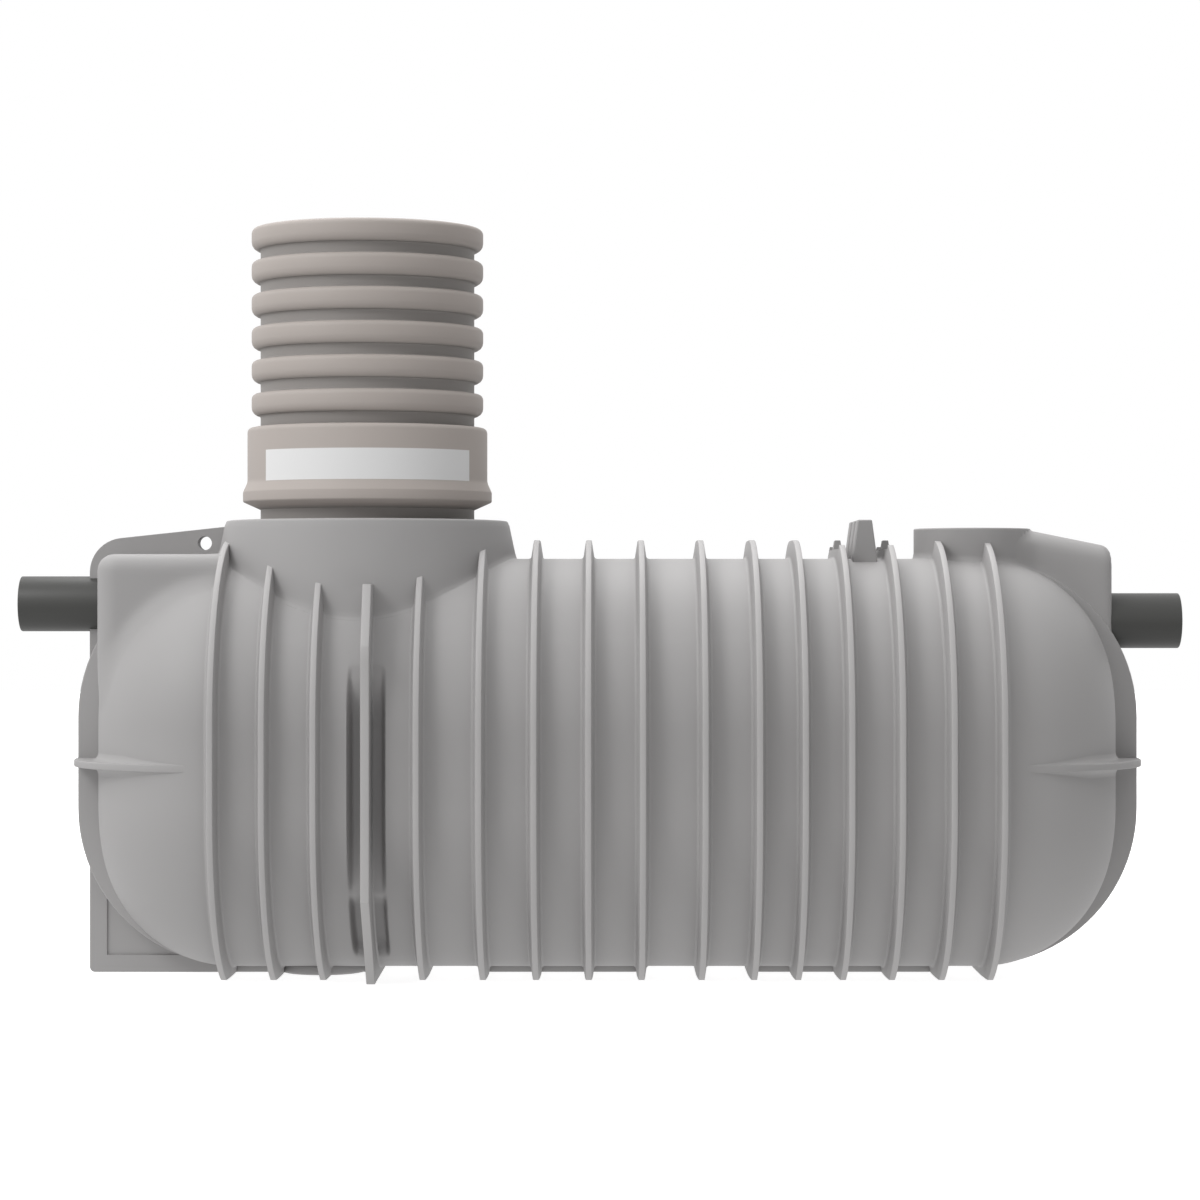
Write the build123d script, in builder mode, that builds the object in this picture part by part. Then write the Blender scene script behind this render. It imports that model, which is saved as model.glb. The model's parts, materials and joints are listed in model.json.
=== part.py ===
from build123d import *
import os
from math import cos, radians, sin, tan

os.makedirs("parts", exist_ok=True)

# Below-ground grease separator, in millimetres.
# X runs along the tank with the inlet at -X, the front is -Y, and the ribs stand on Z = 0.

# Driving dimensions of the tank body
axis_height = 611
barrel_half_width = 546
barrel_half_height = 587
barrel_corner_radius = 479
wall = 12
dome_radius = 380
inlet_dome_end = -1431
outlet_dome_end = 1471
panel_split_angle = 30

# Ribs
rib_height = 54
rib_edge = 16
rib_root = 30
rib_sink = 10
rib_positions = [-1068, -927, -786, -643.5, -504, -333, -182, -32,
                 118, 289, 438, 563, 690, 829, 970, 1108]
stout_rib_number = 4
stout_rib_edge = 25
stout_rib_shoulder = (509, 512)
stout_rib_face = (600, 337)
stout_rib_knee = (600, -360)
stout_rib_foot_half_width = 350

# Pockets in the barrel wall on both sides of the stout rib, front and back
pocket_half_length = 54
pocket_floor = 484
pocket_top_rise = 282
pocket_low_drop = 343
low_pocket_drop = 508
low_pocket_depth = 6

# Notches for a strap in the crests of the ribs beside the lifting lug
notched_ribs = (13, 14)
notch_inner_y = 20
notch_outer_y = 195
notch_floor_rise = 27

# Inlet chamber neck, wider along the tank at its foot than across it
neck_x = -676
neck_rise_over_housing = 99
neck_top_radius = 410
neck_flare_along = 12
neck_flare_across = 4.1
neck_depth = 358
neck_edge_rounding = 12

# Riser shaft and its socket collar
riser_bore_radius = 300
riser_groove_radius = 310
riser_ring_radius = 336
riser_length = 848
riser_ring_pitch = 96
riser_ring_length = 64
riser_ring_rounding = 15
collar_radius = 348
collar_lip_radius = 361
collar_gap_over_neck = 32
collar_length = 238
collar_flare_rise = 80
collar_lip_top_rise = 51
collar_lip_bottom_rise = 23
collar_edge_rounding = 12

# Pipes
pipe_radius = 80
pipe_wall = 5
pipe_reach = 1682
pipe_inside = 60
inlet_pipe_rise = 457
outlet_pipe_rise = 408

# Inlet housing
inlet_housing_face = -1424
inlet_housing_half_width = 315
inlet_housing_cover = 61
inlet_housing_height = 349
inlet_housing_side_rounding = 70
inlet_housing_top_rounding = 35

# Outlet neck and housing
outlet_neck_x = 1082
outlet_neck_radius = 169
outlet_neck_rise = 88
outlet_housing_face = 1478
outlet_housing_half_width = 95
outlet_housing_drop = 7
outlet_housing_cover = 134
outlet_housing_rounding = 30
outlet_housing_crown_rounding = 60

# Vertical ridges round both ends
ridge_half_thickness = 100
ridge_arc_radius = 452
ridge_half_height = 583
inlet_ridge_face = -1504
outlet_ridge_face = 1547

# Horizontal fins at the height of the axis
fin_thickness = 15
fin_rise = 3
fin_proud = 6
fin_half_width = 541
fin_corner_radius = 330
fin_gap_to_barrel = 49

# Web plate on the middle plane of the inlet end
web_half_thickness = 32
web_face = -1480
web_rear_x = -1080
web_rear_drop = 15
web_top_slope_drop = 43
web_top_radius = 100
web_foot_radius = 15
web_border = 50
web_recess_depth = 23
lifting_hole_radius = 20
lifting_hole_x = -1146
lifting_hole_drop = 64

# Keels under the barrel, between the ribs with these numbers
keel_half_thickness = 32
middle_keel_ribs = (6, 9)
outlet_keel_ribs = (11, 15)
shallow_keel_ribs = (10, 11)
shallow_keel_height = 17

# Sump boss and lifting lug
sump_x = -803
sump_radius = 127
sump_rounding = 8
lug_x = 758
lug_base_length = 71
lug_top_length = 41
lug_depth = 330
lug_rise = 111
lug_pad_half_width = 40
lug_groove_width = 50
lug_groove_depth = 8

# Worked out from the driving dimensions
barrel_start = inlet_dome_end + dome_radius
barrel_stop = outlet_dome_end - dome_radius
crown_height = axis_height + barrel_half_height
inlet_pipe_height = axis_height + inlet_pipe_rise
outlet_pipe_height = axis_height + outlet_pipe_rise
inlet_housing_top = inlet_pipe_height + pipe_radius + inlet_housing_cover
inlet_housing_base = inlet_housing_top - inlet_housing_height
outlet_housing_brow = outlet_pipe_height + pipe_radius + outlet_housing_cover
outlet_neck_top = crown_height + outlet_neck_rise
outlet_housing_crest = outlet_neck_top - outlet_housing_drop
neck_top_height = inlet_housing_top + neck_rise_over_housing
riser_top_height = neck_top_height + riser_length
collar_bottom_height = neck_top_height + collar_gap_over_neck
collar_top_height = collar_bottom_height + collar_length
riser_ring_count = int((riser_top_height - collar_top_height) / riser_ring_pitch)
web_rear_height = neck_top_height - web_rear_drop
web_top_corner_height = web_rear_height - web_top_slope_drop
lug_top_height = crown_height + lug_rise
stout_rib_x = rib_positions[stout_rib_number - 1]
beyond = 2000


def across(x):
    """Plane across the tank at x, with its local origin on the barrel's axis."""
    return Plane(origin=(x, 0, axis_height), x_dir=(0, 1, 0), z_dir=(1, 0, 0))


def along(y):
    """Plane along the tank at y, with local x and y along the part's X and Z."""
    return Plane(origin=(0, y, 0), x_dir=(1, 0, 0), z_dir=(0, -1, 0))


def tank_body(inset):
    """Closed tank body, set in from the outer skin by inset."""
    with BuildPart() as body:
        with BuildSketch(across(inlet_dome_end + inset)):
            RectangleRounded(
                2 * (barrel_half_width - inset),
                2 * (barrel_half_height - inset),
                barrel_corner_radius - inset,
            )
        extrude(amount=outlet_dome_end - inlet_dome_end - 2 * inset)
        ends = body.faces().sort_by(Axis.X)
        fillet(ends[0].edges() + ends[-1].edges(), dome_radius - inset)
    return body.part


def neck_body(inset):
    """Flared neck of the inlet chamber, set in from its outer skin by inset."""
    foot_along = neck_top_radius + neck_depth * tan(radians(neck_flare_along))
    foot_across = neck_top_radius + neck_depth * tan(radians(neck_flare_across))
    with BuildPart() as body:
        with BuildSketch(Plane.XY.offset(neck_top_height - neck_depth)):
            with Locations((neck_x, 0)):
                Ellipse(foot_along - inset, foot_across - inset)
        with BuildSketch(Plane.XY.offset(neck_top_height - inset)):
            with Locations((neck_x, 0)):
                Circle(neck_top_radius - inset)
        loft(ruled=True)
    return body.part


def pipe_body(start_x, stop_x, height, radius):
    """Solid round bar along X between two places at one height."""
    with BuildPart() as body:
        with BuildSketch(Plane(origin=(start_x, 0, height), x_dir=(0, 1, 0), z_dir=(1, 0, 0))):
            Circle(radius)
        extrude(amount=stop_x - start_x)
    return body.part


def inlet_housing_body(inset):
    """Box over the inlet dome, rounded at its face and top, set in by inset."""
    right = rib_positions[0] - inset
    left = inlet_housing_face + inset
    half_width = inlet_housing_half_width - inset
    with BuildPart() as body:
        with BuildSketch(Plane.XY.offset(inlet_housing_base + inset)):
            with Locations(((left + right) / 2, 0)):
                Rectangle(right - left, 2 * half_width)
        extrude(amount=inlet_housing_top - inlet_housing_base - 2 * inset)
        upright = body.edges().filter_by(Axis.Z).group_by(Axis.X)[0]
        fillet(upright, inlet_housing_side_rounding - inset)
        brim = body.faces().sort_by(Axis.Z)[-1].edges().filter_by(Axis.Y, reverse=True)
        brim += body.faces().sort_by(Axis.Z)[-1].edges().filter_by(Axis.Y).sort_by(Axis.X)[0:1]
        fillet(brim, inlet_housing_top_rounding - inset)
    return body.part


def outlet_neck_body(inset):
    """Closed round neck over the outlet, set in by inset."""
    with BuildPart() as body:
        with BuildSketch(Plane.XY.offset(axis_height)):
            with Locations((outlet_neck_x, 0)):
                Circle(outlet_neck_radius - inset)
        extrude(amount=outlet_neck_top - inset - axis_height)
    return body.part


def outlet_housing_body(inset):
    """Narrow sloping housing between the outlet neck and the outlet pipe, set in by inset."""
    half_width = outlet_housing_half_width - inset
    with BuildPart() as body:
        with BuildSketch(along(half_width)):
            with BuildLine():
                Polyline(
                    (outlet_neck_x, axis_height),
                    (outlet_neck_x, outlet_housing_crest - inset),
                    (outlet_neck_x + outlet_neck_radius, outlet_housing_crest - inset),
                    (outlet_housing_face - inset, outlet_housing_brow - inset),
                    (outlet_housing_face - inset, axis_height),
                    close=True,
                )
            make_face()
        extrude(amount=2 * half_width)
        crown = body.edges().filter_by_position(Axis.Z, outlet_housing_brow - inset - 1, beyond)
        fillet(crown.filter_by(Axis.Y, reverse=True).filter_by(Axis.Z, reverse=True),
               outlet_housing_crown_rounding - inset)
        fillet(body.edges().filter_by(Axis.Z).group_by(Axis.X)[-1], outlet_housing_rounding - inset)
    return body.part


def ridge_body(face_x):
    """Slab on the middle plane that stands proud round one end of the tank."""
    side = 1 if face_x > 0 else -1
    root_x = face_x - side * ridge_arc_radius
    with BuildPart() as body:
        with BuildSketch(along(ridge_half_thickness)) as profile:
            with Locations(((face_x + root_x) / 2, axis_height)):
                Rectangle(ridge_arc_radius, 2 * ridge_half_height)
            outer = profile.vertices().sort_by(Axis.X)
            corners = outer[-2:] if side > 0 else outer[:2]
            fillet(corners, ridge_arc_radius)
        extrude(amount=2 * ridge_half_thickness)
    return body.part


tank = tank_body(0)
tank_inside = tank_body(wall)
neck = neck_body(0)
neck_inside = neck_body(wall)
inlet_box = inlet_housing_body(0)
inlet_box_inside = inlet_housing_body(wall)
outlet_turret = outlet_neck_body(0)
outlet_turret_inside = outlet_neck_body(wall)
outlet_box = outlet_housing_body(0)
outlet_box_inside = outlet_housing_body(wall)
inlet_bar = pipe_body(-pipe_reach, inlet_housing_face + wall + pipe_inside,
                      inlet_pipe_height, pipe_radius)
outlet_bar = pipe_body(outlet_housing_face - wall - pipe_inside, pipe_reach,
                       outlet_pipe_height, pipe_radius)


def pocket_boxes(grown):
    """Boxes beside the stout rib, front and back, whose floors lie inside the barrel's skin."""
    top = axis_height + pocket_top_rise + grown
    low = axis_height - pocket_low_drop - grown
    with BuildPart() as boxes:
        with BuildSketch(Plane.XY.offset(low)):
            with Locations((stout_rib_x, pocket_floor - grown)):
                Rectangle(2 * (pocket_half_length + grown), barrel_half_width,
                          align=(Align.CENTER, Align.MIN))
            mirror(about=Plane.XZ)
        extrude(amount=top - low)
    return boxes.part


def finish(part, name):
    """Label a piece and write its file."""
    part.label = name
    export_step(part, f"parts/{name}.step")


# The pockets beside the stout rib, cut into the outer skin and kept out of the hollow
with BuildPart() as hollow:
    add(tank_inside)
    add(pocket_boxes(wall), mode=Mode.SUBTRACT)
with BuildPart() as low_pockets:
    with BuildSketch(across(stout_rib_x - pocket_half_length)):
        with Locations((0, -pocket_low_drop)):
            Rectangle(2 * beyond, low_pocket_drop - pocket_low_drop,
                      align=(Align.CENTER, Align.MAX))
    extrude(amount=2 * pocket_half_length)
    add(tank_body(low_pocket_depth), mode=Mode.SUBTRACT)
with BuildPart() as pocketed_tank:
    add(tank)
    add(pocket_boxes(0), mode=Mode.SUBTRACT)
    add(low_pockets.part, mode=Mode.SUBTRACT)

# Barrel wall in four panels, split on lines along the rounded corners
flat_half_width = barrel_half_width - barrel_corner_radius
flat_half_height = barrel_half_height - barrel_corner_radius
split_run = beyond * cos(radians(panel_split_angle))
split_rise = beyond * sin(radians(panel_split_angle))
side_sector = [
    (-flat_half_width, flat_half_height),
    (-flat_half_width - split_run, flat_half_height + split_rise),
    (-flat_half_width - split_run, -flat_half_height - split_rise),
    (-flat_half_width, -flat_half_height),
]
top_sector = [
    (-flat_half_width, flat_half_height),
    (-flat_half_width - split_run, flat_half_height + split_rise),
    (flat_half_width + split_run, flat_half_height + split_rise),
    (flat_half_width, flat_half_height),
]
sectors = {
    "shell_front": side_sector,
    "shell_back": [(-y, z) for y, z in side_sector],
    "shell_crown": top_sector,
    "shell_floor": [(y, -z) for y, z in top_sector],
}
for name, outline in sectors.items():
    with BuildPart() as panel:
        with BuildSketch(across(barrel_start)):
            with BuildLine():
                Polyline(*outline, close=True)
            make_face()
        extrude(amount=barrel_stop - barrel_start)
        add(pocketed_tank.part, mode=Mode.INTERSECT)
        add(hollow.part, mode=Mode.SUBTRACT)
        if name != "shell_floor":
            add(neck_inside, mode=Mode.SUBTRACT)
            add(outlet_turret_inside, mode=Mode.SUBTRACT)
            add(outlet_box_inside, mode=Mode.SUBTRACT)
    finish(panel.part, name)

# Domed ends of the tank, open to the housings and necks above them
with BuildPart() as inlet_dome:
    add(tank)
    add(tank_inside, mode=Mode.SUBTRACT)
    split(bisect_by=Plane.YZ.offset(barrel_start), keep=Keep.BOTTOM)
    add(neck_inside, mode=Mode.SUBTRACT)
    add(inlet_box_inside, mode=Mode.SUBTRACT)
finish(inlet_dome.part, "inlet_dome")

with BuildPart() as outlet_dome:
    add(tank)
    add(tank_inside, mode=Mode.SUBTRACT)
    split(bisect_by=Plane.YZ.offset(barrel_stop), keep=Keep.TOP)
    add(outlet_turret_inside, mode=Mode.SUBTRACT)
    add(outlet_box_inside, mode=Mode.SUBTRACT)
finish(outlet_dome.part, "outlet_dome")

# Ribs round the barrel, flat where they stand on the ground
ribs = {}
rib_draft = (rib_root - rib_edge) / 2 / rib_height
rib_half_start = rib_root / 2 + rib_draft * rib_sink
for number, x in enumerate(rib_positions, start=1):
    stations = [(x - rib_half_start, -rib_sink), (x - rib_edge / 2, rib_height),
                (x + rib_edge / 2, rib_height), (x + rib_half_start, -rib_sink)]
    with BuildPart() as rib:
        if number == stout_rib_number:
            right_half = [
                (0, stout_rib_shoulder[1]), stout_rib_shoulder, stout_rib_face,
                stout_rib_knee, (stout_rib_foot_half_width, -axis_height), (0, -axis_height),
            ]
            with BuildSketch(across(x - stout_rib_edge / 2)):
                with BuildLine():
                    Polyline(*right_half, close=True)
                make_face()
                mirror(about=Plane.YZ)
            extrude(amount=stout_rib_edge)
        else:
            for station_x, proud in stations:
                with BuildSketch(across(station_x)):
                    RectangleRounded(
                        2 * (barrel_half_width + proud),
                        2 * (barrel_half_height + proud),
                        barrel_corner_radius + proud,
                    )
            loft(ruled=True)
        split(bisect_by=Plane.XY, keep=Keep.TOP)
        add(pocketed_tank.part if number == stout_rib_number else tank, mode=Mode.SUBTRACT)
        if abs(x - neck_x) < neck_top_radius + neck_depth:
            add(neck, mode=Mode.SUBTRACT)
        if x > outlet_neck_x - outlet_neck_radius - rib_root:
            add(outlet_turret, mode=Mode.SUBTRACT)
            add(outlet_box, mode=Mode.SUBTRACT)
        if number in notched_ribs:
            notch_middle = (notch_inner_y + notch_outer_y) / 2
            with Locations((x, notch_middle, crown_height + notch_floor_rise),
                           (x, -notch_middle, crown_height + notch_floor_rise)):
                Box(2 * rib_root, notch_outer_y - notch_inner_y, rib_height,
                    align=(Align.CENTER, Align.CENTER, Align.MIN), mode=Mode.SUBTRACT)
    ribs[number] = rib.part
    finish(rib.part, f"rib_{number:02d}")

# Neck of the inlet chamber with the flat plate that carries the riser
with BuildPart() as inlet_neck:
    add(neck)
    fillet(inlet_neck.faces().sort_by(Axis.Z)[-1].edges(), neck_edge_rounding)
    add(neck_inside, mode=Mode.SUBTRACT)
    add(tank, mode=Mode.SUBTRACT)
    with Locations((neck_x, 0, neck_top_height)):
        Cylinder(riser_bore_radius, 4 * wall, mode=Mode.SUBTRACT)
finish(inlet_neck.part, "inlet_neck")

# Housing behind the inlet pipe
with BuildPart() as inlet_housing:
    add(inlet_box)
    add(inlet_box_inside, mode=Mode.SUBTRACT)
    add(tank, mode=Mode.SUBTRACT)
    add(neck, mode=Mode.SUBTRACT)
    add(ribs[1], mode=Mode.SUBTRACT)
    split(bisect_by=Plane.YZ.offset(rib_positions[0]), keep=Keep.BOTTOM)
    add(inlet_bar, mode=Mode.SUBTRACT)
finish(inlet_housing.part, "inlet_housing")

# Outlet neck, with the housing that falls away from it to the outlet pipe
with BuildPart() as outlet_neck:
    add(outlet_turret)
    add(outlet_turret_inside, mode=Mode.SUBTRACT)
    add(outlet_box_inside, mode=Mode.SUBTRACT)
    add(tank, mode=Mode.SUBTRACT)
finish(outlet_neck.part, "outlet_neck")

outlet_ridge_slab = ridge_body(outlet_ridge_face)
inlet_ridge_slab = ridge_body(inlet_ridge_face)
with BuildPart() as outlet_housing:
    add(outlet_box)
    add(outlet_box_inside, mode=Mode.SUBTRACT)
    add(tank, mode=Mode.SUBTRACT)
    add(outlet_turret, mode=Mode.SUBTRACT)
    add(outlet_ridge_slab, mode=Mode.SUBTRACT)
    add(outlet_bar, mode=Mode.SUBTRACT)
finish(outlet_housing.part, "outlet_housing")

# Horizontal fins that run round the ends at the height of the axis
fins = {}
fin_inlet = (inlet_ridge_face - fin_proud, barrel_start - fin_gap_to_barrel)
fin_outlet = (outlet_ridge_face + fin_proud, barrel_stop + fin_gap_to_barrel)
for name, (tip_x, root_x) in [("inlet_fin", fin_inlet), ("outlet_fin", fin_outlet)]:
    with BuildPart() as fin:
        with BuildSketch(Plane.XY.offset(axis_height + fin_rise - fin_thickness / 2)) as plan:
            with Locations(((tip_x + root_x) / 2, 0)):
                Rectangle(abs(tip_x - root_x), 2 * fin_half_width)
            fillet(plan.vertices().sort_by_distance((tip_x, 0, 0))[:2], fin_corner_radius)
        extrude(amount=fin_thickness)
        add(tank, mode=Mode.SUBTRACT)
    fins[name] = fin.part
    finish(fin.part, name)

# Vertical ridges round the ends, above and below the fins
with BuildPart() as inlet_ridge:
    add(inlet_ridge_slab)
    for body in (tank, inlet_box, inlet_bar, ribs[1], fins["inlet_fin"]):
        add(body, mode=Mode.SUBTRACT)
finish(inlet_ridge.part, "inlet_ridge")

with BuildPart() as outlet_ridge:
    add(outlet_ridge_slab)
    for body in (tank, outlet_turret, outlet_box_inside, outlet_bar, ribs[len(ribs)],
                 fins["outlet_fin"]):
        add(body, mode=Mode.SUBTRACT)
finish(outlet_ridge.part, "outlet_ridge")

# Sump boss under the inlet chamber, on both sides of the rib that crosses it
with BuildPart() as sump_boss:
    with BuildSketch(Plane.XY):
        with Locations((sump_x, 0)):
            Circle(sump_radius)
    extrude(amount=axis_height)
    fillet(sump_boss.faces().sort_by(Axis.Z)[0].edges(), sump_rounding)
    add(tank, mode=Mode.SUBTRACT)
    for number in (2, 3, 4):
        add(ribs[number], mode=Mode.SUBTRACT)
finish(sump_boss.part, "sump_boss")

# Web plate of the inlet end: a top strip with the lifting hole, a short strip under the pipe,
# and a foot with a recessed panel on each side
hidden_x = rib_positions[0]
with BuildPart() as web_top:
    with BuildSketch(along(web_half_thickness)) as profile:
        with BuildLine():
            Polyline(
                (web_face, inlet_pipe_height),
                (web_face, web_top_corner_height),
                (web_rear_x, web_rear_height),
                (neck_x, web_rear_height),
                (neck_x, inlet_pipe_height),
                close=True,
            )
        make_face()
        brow = profile.vertices().sort_by_distance((web_face, web_top_corner_height, 0))[0]
        fillet(brow, web_top_radius)
    extrude(amount=2 * web_half_thickness)
    with Locations(along(0)):
        with Locations((lifting_hole_x, neck_top_height - lifting_hole_drop)):
            Cylinder(lifting_hole_radius, 3 * web_half_thickness, mode=Mode.SUBTRACT)
    for body in (tank, neck, inlet_box, inlet_bar):
        add(body, mode=Mode.SUBTRACT)
finish(web_top.part, "web_top")

with BuildPart() as web_side:
    with BuildSketch(along(web_half_thickness)):
        with BuildLine():
            Polyline(
                (web_face, axis_height),
                (web_face, inlet_pipe_height),
                (inlet_housing_face + wall, inlet_pipe_height),
                (inlet_housing_face + wall, axis_height),
                close=True,
            )
        make_face()
    extrude(amount=2 * web_half_thickness)
    for body in (tank, inlet_ridge_slab, inlet_box, inlet_bar):
        add(body, mode=Mode.SUBTRACT)
finish(web_side.part, "web_side")

with BuildPart() as web_foot:
    with BuildSketch(along(web_half_thickness)) as profile:
        with BuildLine():
            Polyline((web_face, 0), (web_face, axis_height), (hidden_x, axis_height),
                     (hidden_x, 0), close=True)
        make_face()
        toe = profile.vertices().sort_by_distance((web_face, 0, 0))[0]
        fillet(toe, web_foot_radius)
    extrude(amount=2 * web_half_thickness)
    for y in (web_half_thickness, -web_half_thickness + web_recess_depth):
        with BuildSketch(along(y)):
            with BuildLine():
                Polyline((web_face + web_border, web_border), (web_face + web_border, axis_height),
                         (hidden_x, axis_height), (hidden_x, web_border), close=True)
            make_face()
        extrude(amount=web_recess_depth, mode=Mode.SUBTRACT)
    for body in (tank, inlet_ridge_slab, ribs[1]):
        add(body, mode=Mode.SUBTRACT)
finish(web_foot.part, "web_foot")


def keel(name, first_rib, last_rib, bottom, cutters):
    """Bars under the barrel on the middle plane, one in each bay from rib to rib."""
    start_x = rib_positions[first_rib - 1]
    stop_x = rib_positions[last_rib - 1]
    with BuildPart() as bars:
        with BuildSketch(Plane.XY.offset(bottom)):
            with Locations(((start_x + stop_x) / 2, 0)):
                Rectangle(stop_x - start_x, 2 * keel_half_thickness)
        extrude(amount=axis_height)
        add(tank, mode=Mode.SUBTRACT)
        for rib_number in range(first_rib, last_rib + 1):
            add(ribs[rib_number], mode=Mode.SUBTRACT)
        for body in cutters:
            add(body, mode=Mode.SUBTRACT)
    finish(bars.part, name)


keel("keel_inlet", 1, 4, 0, [sump_boss.part])
keel("keel_middle", *middle_keel_ribs, 0, [])
keel("keel_shallow", *shallow_keel_ribs, shallow_keel_height, [])
keel("keel_outlet", *outlet_keel_ribs, 0, [])

# Lifting lug on the crown
with BuildPart() as lifting_lug:
    with BuildSketch(along(lug_depth / 2)):
        with BuildLine():
            Polyline(
                (lug_x - lug_base_length / 2, crown_height),
                (lug_x - lug_top_length / 2, lug_top_height),
                (lug_x + lug_top_length / 2, lug_top_height),
                (lug_x + lug_base_length / 2, crown_height),
                (lug_x + lug_base_length / 2, axis_height),
                (lug_x - lug_base_length / 2, axis_height),
                close=True,
            )
        make_face()
    extrude(amount=lug_depth)
    groove_y = lug_pad_half_width + lug_groove_width / 2
    groove_x = lug_top_length / 2 - lug_groove_depth
    for side_y in (groove_y, -groove_y):
        with Locations((lug_x - groove_x, side_y, axis_height)):
            Box(lug_base_length, lug_groove_width, beyond,
                align=(Align.MAX, Align.CENTER, Align.MIN), mode=Mode.SUBTRACT)
        with Locations((lug_x + groove_x, side_y, axis_height)):
            Box(lug_base_length, lug_groove_width, beyond,
                align=(Align.MIN, Align.CENTER, Align.MIN), mode=Mode.SUBTRACT)
    add(tank, mode=Mode.SUBTRACT)
finish(lifting_lug.part, "lifting_lug")

# Riser shaft: a smooth bore inside rings that stand proud of the grooves
with BuildPart() as riser:
    with BuildSketch(Plane.XY.offset(neck_top_height)):
        with Locations((neck_x, 0)):
            Circle(riser_groove_radius)
    extrude(amount=riser_top_height - neck_top_height)
    for ring in range(riser_ring_count):
        ring_top = riser_top_height - ring * riser_ring_pitch
        with BuildSketch(Plane.XY.offset(ring_top - riser_ring_length)):
            with Locations((neck_x, 0)):
                Circle(riser_ring_radius)
        extrude(amount=riser_ring_length)
    rims = riser.edges().filter_by(GeomType.CIRCLE)
    rims = rims.filter_by(lambda rim: abs(rim.radius - riser_ring_radius) < 1)
    fillet(rims, riser_ring_rounding)
    with BuildSketch(Plane.XY.offset(neck_top_height)):
        with Locations((neck_x, 0)):
            Circle(riser_bore_radius)
    extrude(amount=riser_top_height - neck_top_height, mode=Mode.SUBTRACT)
finish(riser.part, "riser")

# Socket collar round the foot of the riser
with BuildPart() as riser_collar:
    with BuildSketch(Plane(origin=(neck_x, 0, 0), x_dir=(1, 0, 0), z_dir=(0, -1, 0))) as half:
        with BuildLine():
            Polyline(
                (riser_groove_radius, collar_bottom_height),
                (collar_lip_radius, collar_bottom_height + collar_lip_bottom_rise),
                (collar_lip_radius, collar_bottom_height + collar_lip_top_rise),
                (collar_radius, collar_bottom_height + collar_flare_rise),
                (collar_radius, collar_top_height),
                (riser_groove_radius, collar_top_height),
                close=True,
            )
        make_face()
        shoulder = half.vertices().group_by(Axis.Y)[-1].sort_by(Axis.X)[-1]
        fillet(shoulder, collar_edge_rounding)
    revolve(axis=Axis((neck_x, 0, 0), (0, 0, 1)))
finish(riser_collar.part, "riser_collar")

# Inlet and outlet pipes
for name, bar, height in [("inlet_pipe", inlet_bar, inlet_pipe_height),
                          ("outlet_pipe", outlet_bar, outlet_pipe_height)]:
    bore = pipe_body(-beyond, beyond, height, pipe_radius - pipe_wall)
    with BuildPart() as pipe:
        add(bar)
        add(bore, mode=Mode.SUBTRACT)
    finish(pipe.part, name)
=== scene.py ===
"""Looks of a below-ground grease separator: a ribbed moulded tank, its riser shaft and pipe stubs.

Lengths are in metres. X runs along the tank from the inlet to the outlet, the front is -Y and
the ribs stand on Z = 0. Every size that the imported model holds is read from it.
"""

from __future__ import annotations

import json
import logging
import math
from collections.abc import Callable
from dataclasses import dataclass, field
from enum import Enum

import bpy
import numpy as np
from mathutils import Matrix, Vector


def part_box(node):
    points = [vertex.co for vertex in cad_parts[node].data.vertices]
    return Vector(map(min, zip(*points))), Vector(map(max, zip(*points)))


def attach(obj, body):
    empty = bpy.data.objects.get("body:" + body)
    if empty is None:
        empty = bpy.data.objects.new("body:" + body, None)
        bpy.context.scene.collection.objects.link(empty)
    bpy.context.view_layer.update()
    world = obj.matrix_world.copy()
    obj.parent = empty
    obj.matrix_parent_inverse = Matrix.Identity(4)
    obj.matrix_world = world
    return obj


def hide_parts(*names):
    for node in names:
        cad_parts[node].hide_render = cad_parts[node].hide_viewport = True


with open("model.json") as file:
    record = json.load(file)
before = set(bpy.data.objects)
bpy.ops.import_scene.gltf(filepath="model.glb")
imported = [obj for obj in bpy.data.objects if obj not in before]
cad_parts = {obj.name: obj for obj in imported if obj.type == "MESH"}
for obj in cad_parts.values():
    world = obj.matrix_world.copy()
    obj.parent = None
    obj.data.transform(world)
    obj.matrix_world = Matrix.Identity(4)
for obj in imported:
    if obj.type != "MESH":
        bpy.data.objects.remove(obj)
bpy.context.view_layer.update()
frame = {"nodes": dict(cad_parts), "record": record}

log = logging.getLogger("grease_separator")

BODY = "root"
WELD = 1e-5
Points = np.ndarray
Distance = Callable[[Points], Points]

PLASTIC_IOR = 1.48
GRAIN_STRENGTH = 0.6
CLOUDS_PER_METRE = 2.3
CLOUD_DETAIL = 4.0
GRAIN_DETAIL = 2.0
ROUGHNESS_SWING = 1.5

# Edges sharper than these angles, in degrees, stay crisp.
CREASE = 35.0
CRISP_CREASE = 30.0
RIB_CREASE = 40.0
NECK_CREASE = 50.0
SKIN_CREASE = 60.0


class Slot(Enum):
    """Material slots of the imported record."""

    TANK = "tank_plastic"
    RISER = "riser_plastic"
    PIPE = "pipe_plastic"


class End(Enum):
    """The two ends of the tank, as the sign of their X direction."""

    INLET = -1
    OUTLET = 1


def fade(tree: bpy.types.NodeTree, value: bpy.types.NodeSocket, band: tuple[float, float],
         levels: tuple[float, float] = (0.0, 1.0)) -> bpy.types.NodeSocket:
    """Add a soft step from one level to another across a band of a value.

    Args:
        tree: The node tree to add to.
        value: The value that drives the step.
        band: Where the step starts and where it ends.
        levels: What it gives before the band and past it.

    Returns:
        The eased level.
    """
    step = tree.nodes.new("ShaderNodeMapRange")
    step.interpolation_type = "SMOOTHSTEP"
    for socket, number in zip(("From Min", "From Max", "To Min", "To Max"), (*band, *levels)):
        step.inputs[socket].default_value = number
    tree.links.new(value, step.inputs["Value"])
    return step.outputs["Result"]


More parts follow.
